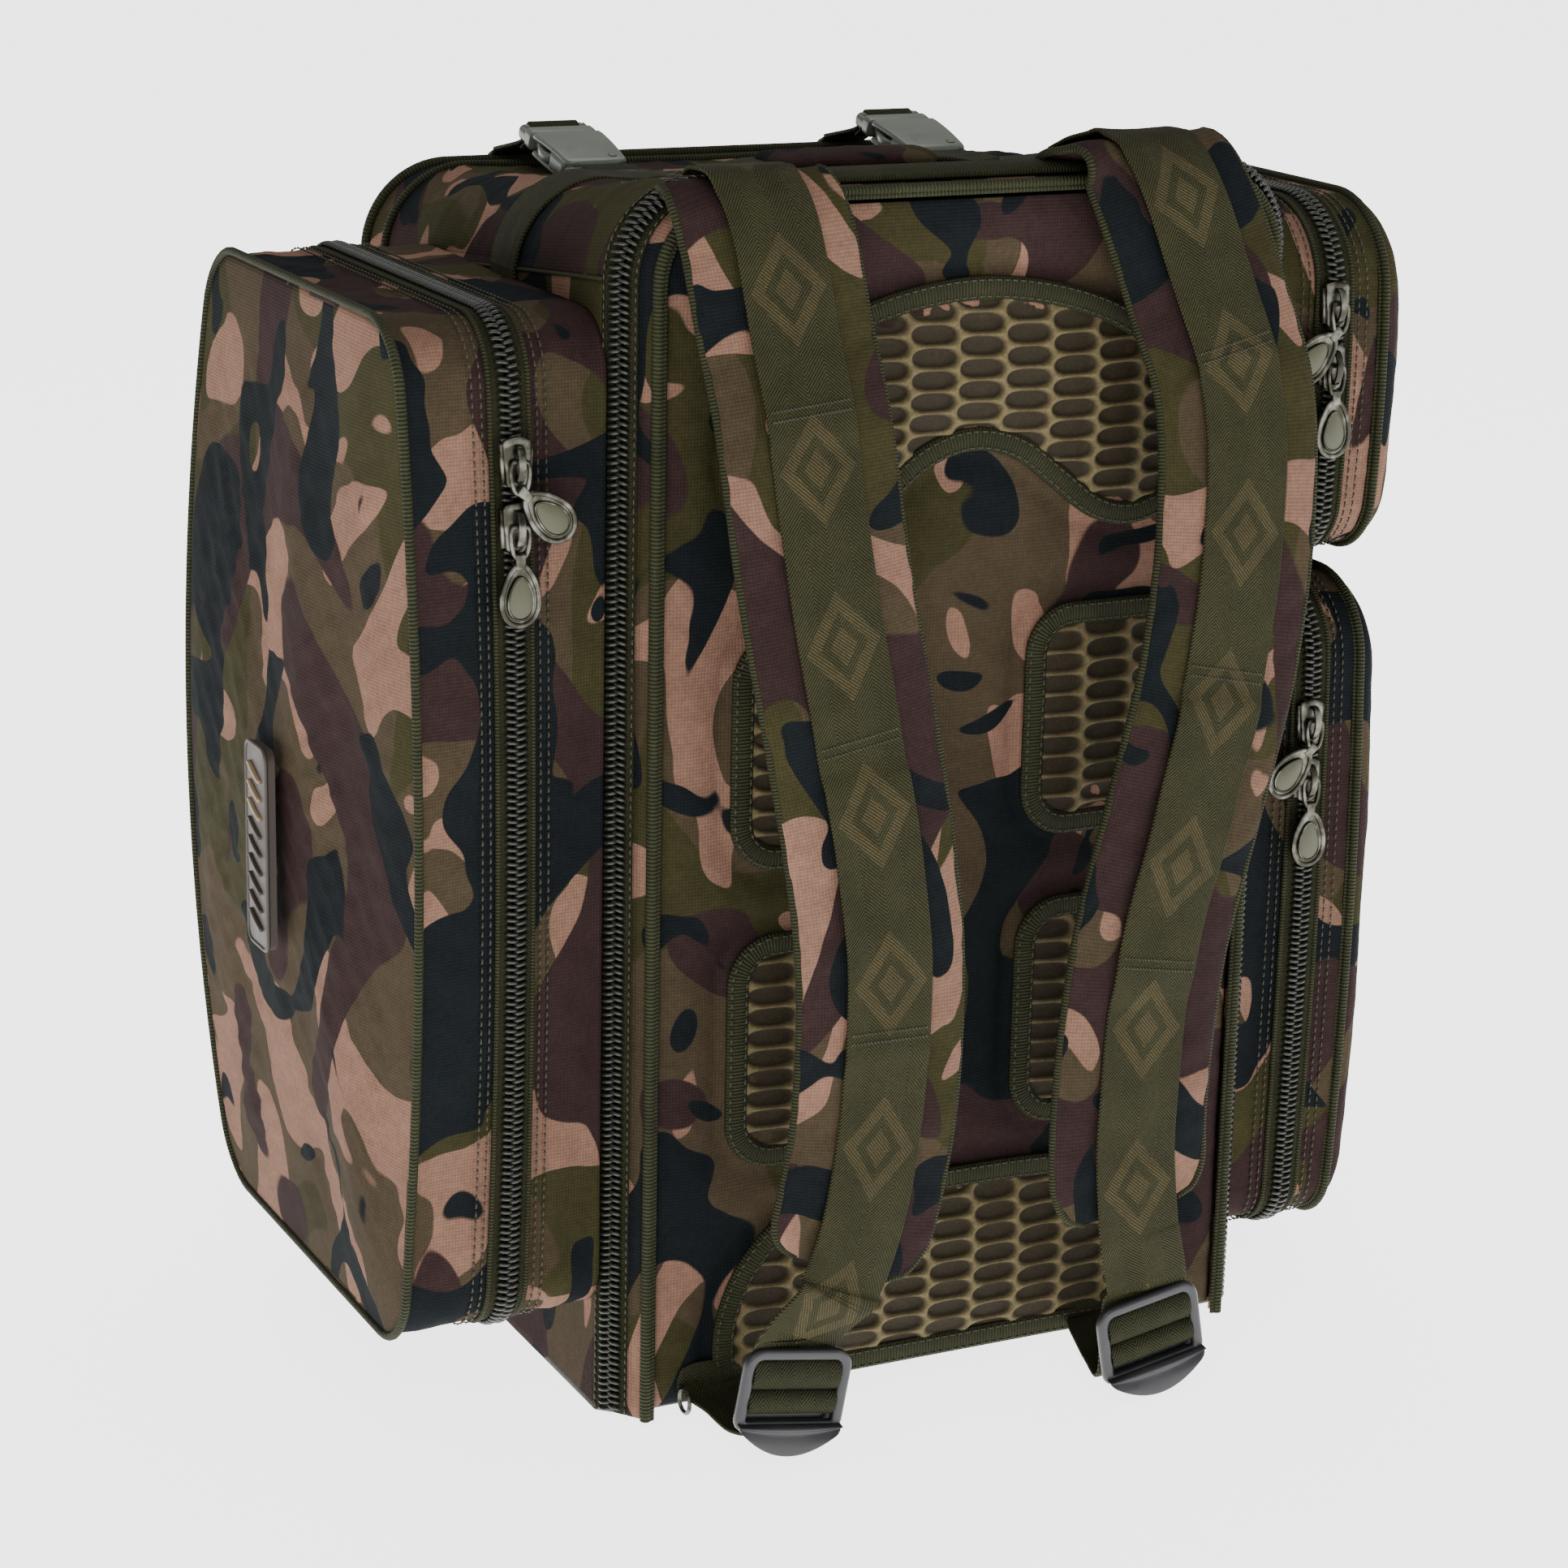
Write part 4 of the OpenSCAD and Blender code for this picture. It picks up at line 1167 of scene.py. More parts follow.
    def build_all(self) -> None:
        """Panel face, mesh cushions, and a stitched binding round each window."""
        self.face()
        windows = self.windows()
        made = [self.mesh_pad(loop, k) for k, loop in enumerate(windows)]
        obj = build("mesh_cushions", [p for p, _ in made], [self.looks.mesh])
        # the relief also sets the painted shade in the cells of the air mesh
        relief = obj.data.attributes.new("relief", "FLOAT", "POINT")
        relief.data.foreach_set("value", np.concatenate([r for _, r in made]).astype(np.float32))
        thicken(obj, 2.0)
        Piece(obj, "back_flap", ["back_mesh_pads"], "air_mesh", 0.5).fix()
        tapes = []
        for loop in windows:
            path = np.stack([loop[:, 0], np.full(len(loop), self.sizes.back_y - 3.2), loop[:, 1]], -1)
            middle = path.mean(0)
            inward = unit(np.cross(directions(path, True), [0, 1, 0]))
            inward = inward * np.sign((inward * (middle - path)).sum(-1).mean())
            path = path + inward * 4.6
            section = np.array([[-5.2, -0.9], [-5.0, 0.5], [-3.0, 1.3], [0, 1.6], [3.0, 1.3], [5.0, 0.5],
                                [5.2, -0.9]])
            tapes.append(self.flat_loop(path, inward, section))
            for off in (-3.6, 3.4):
                tapes.append(self.stitch_loop(path + inward * off))
        obj = build("window_bindings", tapes, [self.looks.binding, self.looks.thread])
        Piece(obj, "back_flap", ["mesh_bindings"], "olive_binding").fix()

    def flat_loop(self, path: Array, side: Array, section: Array) -> Patch:
        """Flat section carried round a loop: path + u * side - v along Y."""
        p = path[:, None] + section[None, :, :1] * side[:, None]
        p = p + section[None, :, 1:] * np.array([0, -1.0, 0])
        return grid(p, (True, True)).outward()

    def stitch_loop(self, path: Array) -> Patch:
        """Small dashes of thread along a loop on the binding."""
        run = through(path, int(lengths(np.concatenate([path, path[:1]])[:, None])[-1] / STITCH_PITCH), True)
        along = directions(run, True)
        up = np.broadcast_to(np.array([0, -1.0, 0]), run.shape)
        dash = lockstitch(0.3, 0.4)
        return repeat(dash, run + up * 1.25, np.cross(up, along), up, along, 1)


@dataclass
class Pocket:
    """A zipped pocket: gusset on the body, chain, hollow cover, piping and folding edge."""

    name: str
    rim: PocketRim
    looks: Finishes
    cover_body: str
    gusset_node: str
    zip_node: str
    cover_nodes: Sequence[str]
    zip_s: float
    edge_s: float
    bulge: float
    gusset_cut: int
    face_cut: int
    zip_range: tuple[float, float]
    shoulder: float = 0.0
    seed: int = 41

    def tube(self, s0: float, s1: float, cols: int, curl: float = 0.0) -> Patch:
        """Fabric tube between two distances from the wall, with wrinkles fading at its ends."""
        t = np.linspace(0, 1, 361)[:-1]
        tt, ss = np.meshgrid(t, np.linspace(s0, s1, cols), indexing="ij")
        fade = np.sin(math.pi * (ss - s0) / (s1 - s0)) ** 0.6
        p = self.rim.base(tt, ss)
        h = fade * (1.1 * crumple(p, 80, self.seed) + 0.7 * crumple(p, 30, self.seed + 1, True) + curl)
        patch = grid(self.rim.at(tt, ss, h), (True, False))
        return self.away(patch)

    def away(self, patch: Patch) -> Patch:
        """Turn a tube so that it faces away from the pocket's middle line."""
        q = patch.quads
        a, b, c, d = (patch.points[q[:, k]] for k in range(4))
        look = np.cross(c - a, d - b)
        middle = patch.points.mean(0)
        return patch if float((look * ((a + c) / 2 - middle)).sum()) >= 0 else patch.flipped()

    def out(self) -> Array:
        """Direction out from the wall."""
        return np.array([0.0, 1.0, 0.0]) if self.rim.front else np.array([float(self.rim.side), 0, 0])

    def face(self) -> Patch:
        """Outer panel: the cover's edge line drawn in to its middle, bulging as it goes.

        With a shoulder the panel first rolls over a quarter ellipse of that height.
        """
        t = np.linspace(0, 1, 361)[:-1]
        edge = self.rim.base(t, np.full(360, self.edge_s))
        middle = edge.mean(0)
        k = np.concatenate([np.linspace(1, 0.7, 16)[:-1], np.linspace(0.7, 0.03, 34)])[:, None, None]
        lift = self.bulge * (1 - k ** 2) ** 0.85
        if self.shoulder:
            roll = np.clip((1 - k) / 0.3, 0, 1)
            lift = lift + self.shoulder * np.sqrt(1 - (1 - roll) ** 2)
        p = middle + (edge - middle) * k
        waves = 1.8 * crumple(p, 120, self.seed + 5) + 0.8 * crumple(p, 38, self.seed + 6, True)
        p = p + self.out() * (lift + waves[..., None] * np.minimum(1, 5 * (1 - k)))
        keep = [2, 0] if self.rim.front else [1, 2]
        patch = grid(p, (False, True), uv=np.concatenate([p, p[:, :1]], 1)[..., keep])
        around, hub = p.shape[1], len(patch.points)
        patch.points = np.concatenate([patch.points, p[-1].mean(0)[None]])
        patch.tris = hub_fan((len(k) - 1) * around, around, hub)
        patch.tri_uv = patch.points[patch.tris][..., keep]
        return patch.facing(self.out())

    def build_all(self) -> None:
        """Make every piece of the pocket and fix all but the folding edge."""
        looks, rim, z = self.looks, self.rim, self.zip_s
        a, b = self.zip_range
        gusset = build(f"{self.name}_gusset_cloth", [self.tube(0.0, z - 7.5, 24)],
                       [looks.camo[self.gusset_cut], looks.lining])
        thicken(gusset, 2.5, 1)
        Piece(gusset, "pack_body", [self.gusset_node], "camo_shell").fix()
        sides = (("body", "pack_body", [self.zip_node], -1, (z - 9.0, z - 1.2)),
                 ("cover", self.cover_body, (), 1, (z + 1.2, z + 9.0)))
        for part, body, nodes, d, tape in sides:
            strips = [rim.tape(a, b, *tape, 1.0), rim.teeth(a, b, z, 1.0, d, finish=1),
                      rim.stitches(a, b, z + d * 12.5, 0.9, finish=2),
                      rim.stitches(a, b, z + d * 16.5, 0.9, finish=2),
                      rim.cord(a, b, z + d * 8.8, 0.7, 1.2, finish=3)]
            chain = build(f"{self.name}_zip_{part}_side", strips,
                          [looks.zip_tape, looks.coil, looks.thread, looks.binding])
            Piece(chain, body, nodes, "zip_chain").fix()
        cover = build(f"{self.name}_cover_cloth",
                      [self.tube(z + 7.5, self.edge_s, 28), self.face().using(2)],
                      [looks.camo[self.gusset_cut], looks.lining, looks.camo[self.face_cut], looks.lining])
        thicken(cover, 2.5, 1)
        Piece(cover, self.cover_body, [self.cover_nodes[0]], "camo_shell").fix()
        edge = [rim.cord(0, 1, self.edge_s, 1.2, 1.9, closed=True),
                rim.tape(0, 1, self.edge_s - 3.0, self.edge_s - 0.5, 0.5, closed=True)]
        piping = build(f"{self.name}_piping_cord", edge, [looks.piping])
        Piece(piping, self.cover_body, [self.cover_nodes[1]], "olive_binding").fix()
        self.fold()

    def fold(self) -> None:
        """Gusset cloth that carries on past the ends of the zip."""
        a, b = self.zip_range
        z = self.zip_s
        t, s = np.meshgrid(np.linspace(b - 1, a, 60), np.linspace(z - 9.5, z + 9.5, 14), indexing="ij")
        patch = grid(self.rim.at(t, s, np.full(t.shape, 0.2)))
        patch = patch.facing((self.rim.base(np.array([0.0]), np.array([z]))[0] - self.middle()))
        obj = build(f"{self.name}_folding_edge", [patch], [self.looks.camo[self.gusset_cut]])
        thicken(obj, 2.0)
        wall = self.rim.base(np.array([0.0]), np.array([z]))[0]
        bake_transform(obj)
        log.info("%s bends between pack_body and %s", obj.name, self.cover_body)

    def middle(self) -> Array:
        """Middle of the zip line."""
        t = np.linspace(0, 1, 60, endpoint=False)
        return self.rim.base(t, np.full(60, self.zip_s)).mean(0)


@dataclass
class ShoulderStrap:
    """Padded strap, its webbing, the ladder lock and the lower webbing on one side."""

    name: str
    looks: Finishes
    path: Sequence[Sequence[float]]
    lock: Sequence[float]
    foot_x: float
    tacks: Sequence[float]
    tilt: float = 0.0
    pad_w: float = 78.0
    pad_t: float = 9.0
    web_w: float = 40.0

    def section(self) -> Array:
        """Crowned pad section: a superellipse, |u|^3.2 + |v|^1.8 = 1."""
        a = np.linspace(math.pi, -math.pi, 44, endpoint=False)
        u = np.sign(np.cos(a)) * np.abs(np.cos(a)) ** (2 / 3.2) * self.pad_w / 2
        v = np.sign(np.sin(a)) * np.abs(np.sin(a)) ** (2 / 1.8) * self.pad_t / 2
        return np.stack([u, v], -1)

    def edges(self) -> tuple[Array, Array, Array]:
        """Centre line with its side and outward directions."""
        path = through(self.path, 220)
        t = directions(path, False)
        side = unit(np.array([1.0, 0, 0]) - t * t[:, :1])
        return path, side, np.cross(t, side)

    def build_all(self) -> None:
        """Pad, webbing with its tacks, ladder lock and lower webbing."""
        path, side, out = (part[:208] for part in self.edges())
        n = len(path)
        ends = np.clip(np.minimum(np.arange(n), np.arange(n)[::-1]) / 9.0, 0, 1)
        scale = np.stack([0.62 + 0.38 * np.sqrt(ends * (2 - ends)), 0.35 + 0.65 * ends], -1)
        pad = sweep(path, self.section(), (1, 0, 0), scale=scale)
        h = 0.8 * crumple(pad.points, 60, 71) + 0.7 * crumple(pad.points, 24, 73, True)
        pad.points[:, 1] += h * 0.8
        lip = []
        for s in (-1, 1):
            run = path + side * (s * (self.pad_w / 2 - 0.6)) * scale[:, :1] - out * 0.5
            lip.append(sweep(run, circle_section(1.9, 8), (1, 0, 0), finish=1))
        obj = build(f"{self.name}_pad_cloth", [pad] + lip, [self.looks.camo[6], self.looks.binding])
        Piece(obj, "back_flap", [f"{self.name}_shoulder_pad"], "camo_shell", 0.7).fix()
        self.webbing()
        self.ladder_lock()
        self.tail()

    def webbing(self) -> None:
        """Webbing along the pad's outer face, stepped where it is tacked down, then to the lock."""
        path, side, out = self.edges()
        run = lengths(path[:, None])
        step_up = sum(1.7 / (1 + np.exp((run - tack) / 1.6)) * (-1) ** k
                      for k, tack in enumerate(self.tacks))
        wave = 0.9 * np.sin(run / 23.0) + 0.5 * np.sin(run / 9.0 + 1)
        line = path + out * (self.pad_t / 2 + 1.5 + step_up + 0.5 * wave)[:, None]
        lock = np.array(self.lock, float)
        ends = lock + [[0, 0.5, 10], [0, 4.2, 3], [0, 5.0, -3], [0, 3.6, -8]]
        line = through(np.concatenate([line[:-4:3], ends]), 420)
        cloth = sweep(line, round_section(self.web_w, 1.9, 0.8), (1, 0, 0))
        marks = []
        at = lengths(line[:, None])
        for tack in self.tacks:
            k = int(np.argmin(np.abs(at - tack)))
            near = int(np.argmin(np.linalg.norm(path - line[k], axis=1)))
            marks += [self.tack(line[k + j], side[near], out[near]) for j in (0, 3)]
        obj = build(f"{self.name}_webbing", [cloth] + marks, [self.looks.webbing, self.looks.thread])
        Piece(obj, "back_flap", [f"{self.name}_shoulder_webbing"], "olive_webbing").fix()

    def tack(self, spot: Array, side: Array, out: Array) -> Patch:
        """Bar tack: a close zigzag of thread across the webbing."""
        k = np.linspace(-1, 1, 45)
        along = np.cross(out, side)
        zig = 0.5 * np.where(np.arange(45) % 2, 1.0, -1.0)
        path = spot + out * 0.95 + side * (k * (self.web_w / 2 - 2))[:, None] + along * zig[:, None]
        return sweep(path, circle_section(0.36, 5), tuple(out), finish=1)

    def ladder_lock(self) -> None:
        """Three bar lock: rounded frame, two bars, a thin plate behind the slot below them that stands in
        for its shadow, and a curled thumb tab.
        """
        w, c = 47.0, np.array(self.lock, float)
        ring = box_outline((-w / 2, w / 2, -31.0, 2.0), (3.0, 3.0, 6.0, 6.0), 121)[:-1]
        rail = sweep(np.stack([ring[:, 0], 0 * ring[:, 0], ring[:, 1]], -1), round_section(4.4, 5.2, 1.7),
                     (0, -1, 0), True)
        # the third entry is a thin dark plate behind the lowest slot, put there as a painted shadow
        bars = [sweep(np.linspace([1 - w / 2, y, z], [w / 2 - 1, y, z], 8), section, (0, -1, 0))
                for y, z, section in ((1.4, -9.0, round_section(3.6, 3.4, 1.2)),
                                      (1.4, -20.0, round_section(3.6, 3.4, 1.2)),
                                      (3.2, -27.5, round_section(1.6, 8.0, 0.6)))]
        u, v = np.meshgrid(np.linspace(-1, 1, 41), np.linspace(0, 1, 16), indexing="ij")
        drop = 29.5 + v * (13.5 - 8.5 * u ** 2)
        curl = -2.6 - 3.4 * np.sin(math.pi * 0.5 * v) - 2.4 * np.exp(-((v - 0.12) / 0.10) ** 2)
        tab = np.stack([u * (w / 2 + 1.6 - 3.5 * v ** 2), curl, -drop], -1)
        lip = np.concatenate([tab, tab[:, ::-1] + [0, 4.4, 0.4]], 1)
        plate = grid(lip, (False, True), True).outward()
        webs = []
        for z0, z1 in ((-1.0, -14.5), (-15.0, -26.0)):
            line = through([[0, 3.5, z0], [0, 0.2, z0 - 1.2], [0, -1.9, (z0 * 2 + z1) / 3],
                            [0, -2.1, (z0 + 2 * z1) / 3], [0, 0.4, z1 + 1.0], [0, 4.0, z1 + 0.2]], 30)
            webs.append(sweep(line, round_section(self.web_w + 2.4, 1.6, 0.7), (1, 0, 0), finish=1))
        turn = rotation(-self.tilt, 1)
        parts = [p.moved(turn, c) for p in [rail, plate] + bars + webs]
        obj = build(f"{self.name}_lock_frame", parts, [self.looks.lock, self.looks.plain_webbing])
        Piece(obj, f"{self.name}_lock", [f"{self.name}_ladder_lock"], "lock_plastic").fix()

    def tail(self) -> None:
        """Webbing from behind the lock down and back to a sewn wing at the panel's foot."""
        c, x = np.array(self.lock, float), self.foot_x
        y = node_box("back_panel")[0][1]
        line = through([c + [0, 4.6, -4], c + [0, 5.0, -18], c + [0, 6.0, -33],
                        [(c[0] * 2 + x) / 3, y - 41, 11], [(c[0] + 2 * x) / 3, y - 22, 13],
                        [x, y - 9, 14], [x, y - 2, 16]], 70)
        cloth = sweep(line, round_section(self.web_w + 1, 1.9, 0.8), (1, 0, 0))
        wing = through([[x - 19, y - 1.5, 9], [x, y - 2.5, 8], [x + 19, y - 1.5, 9], [x + 19, y - 2, 24],
                        [x, y - 3, 26], [x - 19, y - 2, 24]], 60, closed=True)
        flap = dome(wing, (0, -3.0, 0), 8).facing((0, -1, 0))
        under = dome(wing, (0, 1.0, 0), 8).facing((0, 1, 0))
        s = -1 if x < 0 else 1
        a = np.linspace(0, 2 * math.pi, 28, endpoint=False)
        ring = np.stack([x + s * 21 + 0 * a, y - 9 + 5.5 * np.cos(a), 12 + 5.5 * np.sin(a)], -1)
        loop = sweep(ring, circle_section(1.0, 8), (1, 0, 0), True, finish=1)
        obj = build(f"{self.name}_lower_webbing", [cloth, flap, under, loop],
                    [self.looks.plain_webbing, self.looks.metal])
        nodes = ["lower_strap_webbing", "lower_strap_anchors"]
        Piece(obj, "back_flap", nodes, "olive_webbing").fix()


@dataclass
class TopStraps:
    """Two webbing straps over the lid with their side release buckles."""

    looks: Finishes
    sizes: Sizes
    tilt: float = 14.0
    width: float = 25.0

    def place(self, side: int) -> tuple[Array, Array]:
        """Turn and place of a buckle, from its CAD node."""
        low, high = node_box("right_buckle_socket" if side > 0 else "left_buckle_socket")
        spot = np.array([(low[0] + high[0]) / 2, 74.0, (low[2] + high[2]) / 2 - BUCKLE_DROP])
        return rotation(self.tilt, 0), spot

    def slab(self, x: float, y0: float, y1: float, z: float, w0: float, w1: float, t: float,
             crown: float = 0.0) -> Patch:
        """Rounded plate that runs along Y and changes width on the way."""
        n = 18
        k = np.linspace(0, 1, n)
        path = np.stack([np.full(n, x), y0 + (y1 - y0) * k, z + crown * np.sin(math.pi * k)], -1)
        soft = np.sqrt(1 - (2 * np.clip(np.abs(k - 0.5), 0.42, 0.5) - 0.84) ** 2 / 0.16 ** 2 * 0.55)
        scale = np.stack([(w0 + (w1 - w0) * k) / w0 * soft, soft], -1)
        return sweep(path, round_section(w0, t, min(t * 0.45, 2.4), 5), (1, 0, 0), scale=scale)

    def build_all(self) -> None:
        """Socket, clip and webbing on each side."""
        for side, name in ((-1, "left"), (1, "right")):
            turn, spot = self.place(side)
            socket = [self.slab(*row) for row in (
                (0, -24, 16.5, 4.0, 30, 35, 3.4, 0.9), (0, -24, 16.5, -4.0, 30, 34, 3.0, -0.5),
                (-12.6, -20, -5, 0, 7, 8, 9.5), (12.6, -20, -5, 0, 7, 8, 9.5),
                (0, -25.5, -21, 0.0, 31, 31, 7.0), (0, -14, -9, 0.0, 27, 27, 6.5))]
            # a disc of near-black coil nylon stands in for a hole in the socket: a painted shadow
            hole = np.array([[9.5 + 2.1 * math.cos(a), -17 + 2.1 * math.sin(a), 6.35]
                             for a in np.linspace(0, 2 * math.pi, 16, endpoint=False)])
            socket.append(dome(hole, (0, 0, -0.5), 3).facing((0, 0, 1)).using(1))
            obj = build(f"{name}_socket_shell", [p.moved(turn, spot) for p in socket],
                        [self.looks.buckle, self.looks.coil])
            Piece(obj, "pack_body", [f"{name}_buckle_socket"], "buckle_plastic").fix()
            clip = [self.slab(*row) for row in (
                (0, 17.6, 24, 0, 34, 34, 9.4, 0.3), (0, 28.6, 32.4, 0, 33, 32, 6.5),
                (-15, 22, 31.5, 0, 4, 4, 7.0), (15, 22, 31.5, 0, 4, 4, 7.0), (0, -2.5, 19, 0, 4, 4, 4.2))]
            for s in (-1, 1):
                arm = through([[s * 11, 19, 0], [s * 13.5, 11, 0], [s * 15.8, 4, 0], [s * 16.2, -1, 0],
                               [s * 12.5, -3.4, 0]], 24)
                clip.append(sweep(arm, round_section(4.6, 3.6, 1.2), (0, 0, 1)))
            obj = build(f"{name}_clip_shell", [p.moved(turn, spot) for p in clip], [self.looks.buckle])
            Piece(obj, f"{name}_clip", [f"{name}_buckle_clip"], "buckle_plastic").fix()
            self.webbing(name, turn, spot)

    def webbing(self, name: str, turn: Array, spot: Array) -> None:
        """Rear tail sewn to the lid, front strap over the rim, and the loop through the clip."""
        s = self.sizes
        x = spot[0]
        sag = 6.0
        y0 = spot[1] - 62
        bar = spot + turn @ np.array([0, -22.0, 0])
        rear = through([[x, y0, s.lid_z(y0) - sag + 2], [x, y0 + 14, s.lid_z(y0 + 14) - sag + 2.4],
                        [x, y0 + 27, s.lid_z(y0 + 27) - sag + 5], bar + [0, -6, -2.5], bar + [0, -1, 3.2],
                        bar + [0, 3.2, 0], bar + [0, -2, -3.4], bar + [0, -10, -5.2]], 90)
        band = round_section(self.width, 1.8, 0.8)
        rear_box = box_stitch(lambda u, v: [x + u * 9, y0 + 2 + v * 14,
                                            s.lid_z(y0 + 2 + v * 14) - sag + 3.5], (0, 0, 1))
        y, top = s.front_y, s.front_top
        fall = through([[x, y - 3, top + 5.5], [x, y + 5.2, top + 1], [x, y + 5.6, top - 10],
                        [x, y + 3.5, top - 24], [x, y + 3.4, top - 54]], 60)
        front_box = box_stitch(lambda u, v: [x + u * 9, y + 4.6, top - 50 + v * 16], (0, 1, 0))
        patches = [sweep(rear, band, (1, 0, 0)), rear_box, sweep(fall, band, (1, 0, 0)), front_box]
        obj = build(f"{name}_top_strap", patches, [self.looks.plain_webbing, self.looks.thread])
        Piece(obj, "pack_body", ["top_strap_webbing"], "olive_webbing").fix()
        pin = spot + turn @ np.array([0, 30.5, 0])
        loop = through([[x, y - 3, top + 6.5], pin + [0, 12, -6], pin + [0, 5, -1.5], pin + [0, 1, 3.8],
                        pin + [0, -3.4, 0], pin + [0, 1, -3.4], pin + [0, 10, -8.5]], 70)
        obj = build(f"{name}_clip_webbing", [sweep(loop, band, (1, 0, 0))], [self.looks.plain_webbing])
        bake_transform(obj)
        log.info("%s bends between pack_body and %s_clip", obj.name, name)


@dataclass
class GrabHandle:
    """Webbing handle across the lid with a padded camouflage sleeve."""

    looks: Finishes
    shell: BodyShell
    band: float = 27.0
    end: float = 72.0

    def build_all(self) -> None:
        """Anchor webbing over the rounded edges, then the loop and its sleeve."""
        low, high = node_box("grab_handle")
        y, z = (low[1] + high[1]) / 2, low[2] - 5.0
        t = np.concatenate([np.linspace(0.352, 0.435, 60), np.linspace(0.435, 0.455, 8)[1:]])
        bands = []
        for s in (-1, 1):
            run = self.shell.skin(t if s < 0 else 1 - t, np.full(t.shape, y), 1.6)
            cut = np.abs(run[:, 0]) > self.end - 4
            run = run[cut]
            bands.append(sweep(run, round_section(self.band, 1.9, 0.8), (0, 1, 0)))
            x, top = s * (self.end + 14), run[-1][2] + 1.4
            bands.append(box_stitch(lambda u, v: [x + u * 9, y + (2 * v - 1) * 11, top], (0, 0, 1)))
        obj = build("handle_anchor_bands", bands, [self.looks.plain_webbing, self.looks.thread])
        Piece(obj, "pack_body", ["handle_anchor_webbing"], "olive_webbing").fix()
        line = through([[-self.end, y, z], [-60, y, z - 1.0], [-46, y, z + 1.0], [-24, y, z + 1.8],
                        [0, y, z + 2.0], [24, y, z + 1.8], [46, y, z + 1.0], [60, y, z - 1.0],
                        [self.end, y, z]], 120)
        loop = sweep(line, round_section(25, 2.0, 0.8), (0, 1, 0))
        k = np.linspace(-1, 1, 60)
        sleeve_path = np.stack([k * 42, np.full(60, y), z + 1.8 - 1.2 * k ** 4], -1)
        soft = np.sqrt(np.clip(1 - np.clip(np.abs(k) - 0.86, 0, 1) ** 2 / 0.14 ** 2 * 0.8, 0.1, 1))
        a = np.linspace(math.pi, -math.pi, 32, endpoint=False)
        round_pad = np.stack([np.sign(np.cos(a)) * np.abs(np.cos(a)) ** 0.7 * 16,
                              np.sign(np.sin(a)) * np.abs(np.sin(a)) ** 0.9 * 4.6], -1)
        sleeve = sweep(sleeve_path, round_pad, (0, 1, 0), scale=np.stack([soft, soft], -1), finish=1)
        sleeve.points[:, 2] += 0.5 * crumple(sleeve.points, 20, 91)
        obj = build("handle_loop", [loop, sleeve], [self.looks.plain_webbing, self.looks.camo[1]])
        Piece(obj, "handle", ["grab_handle"], "camo_shell", 0.8).fix()


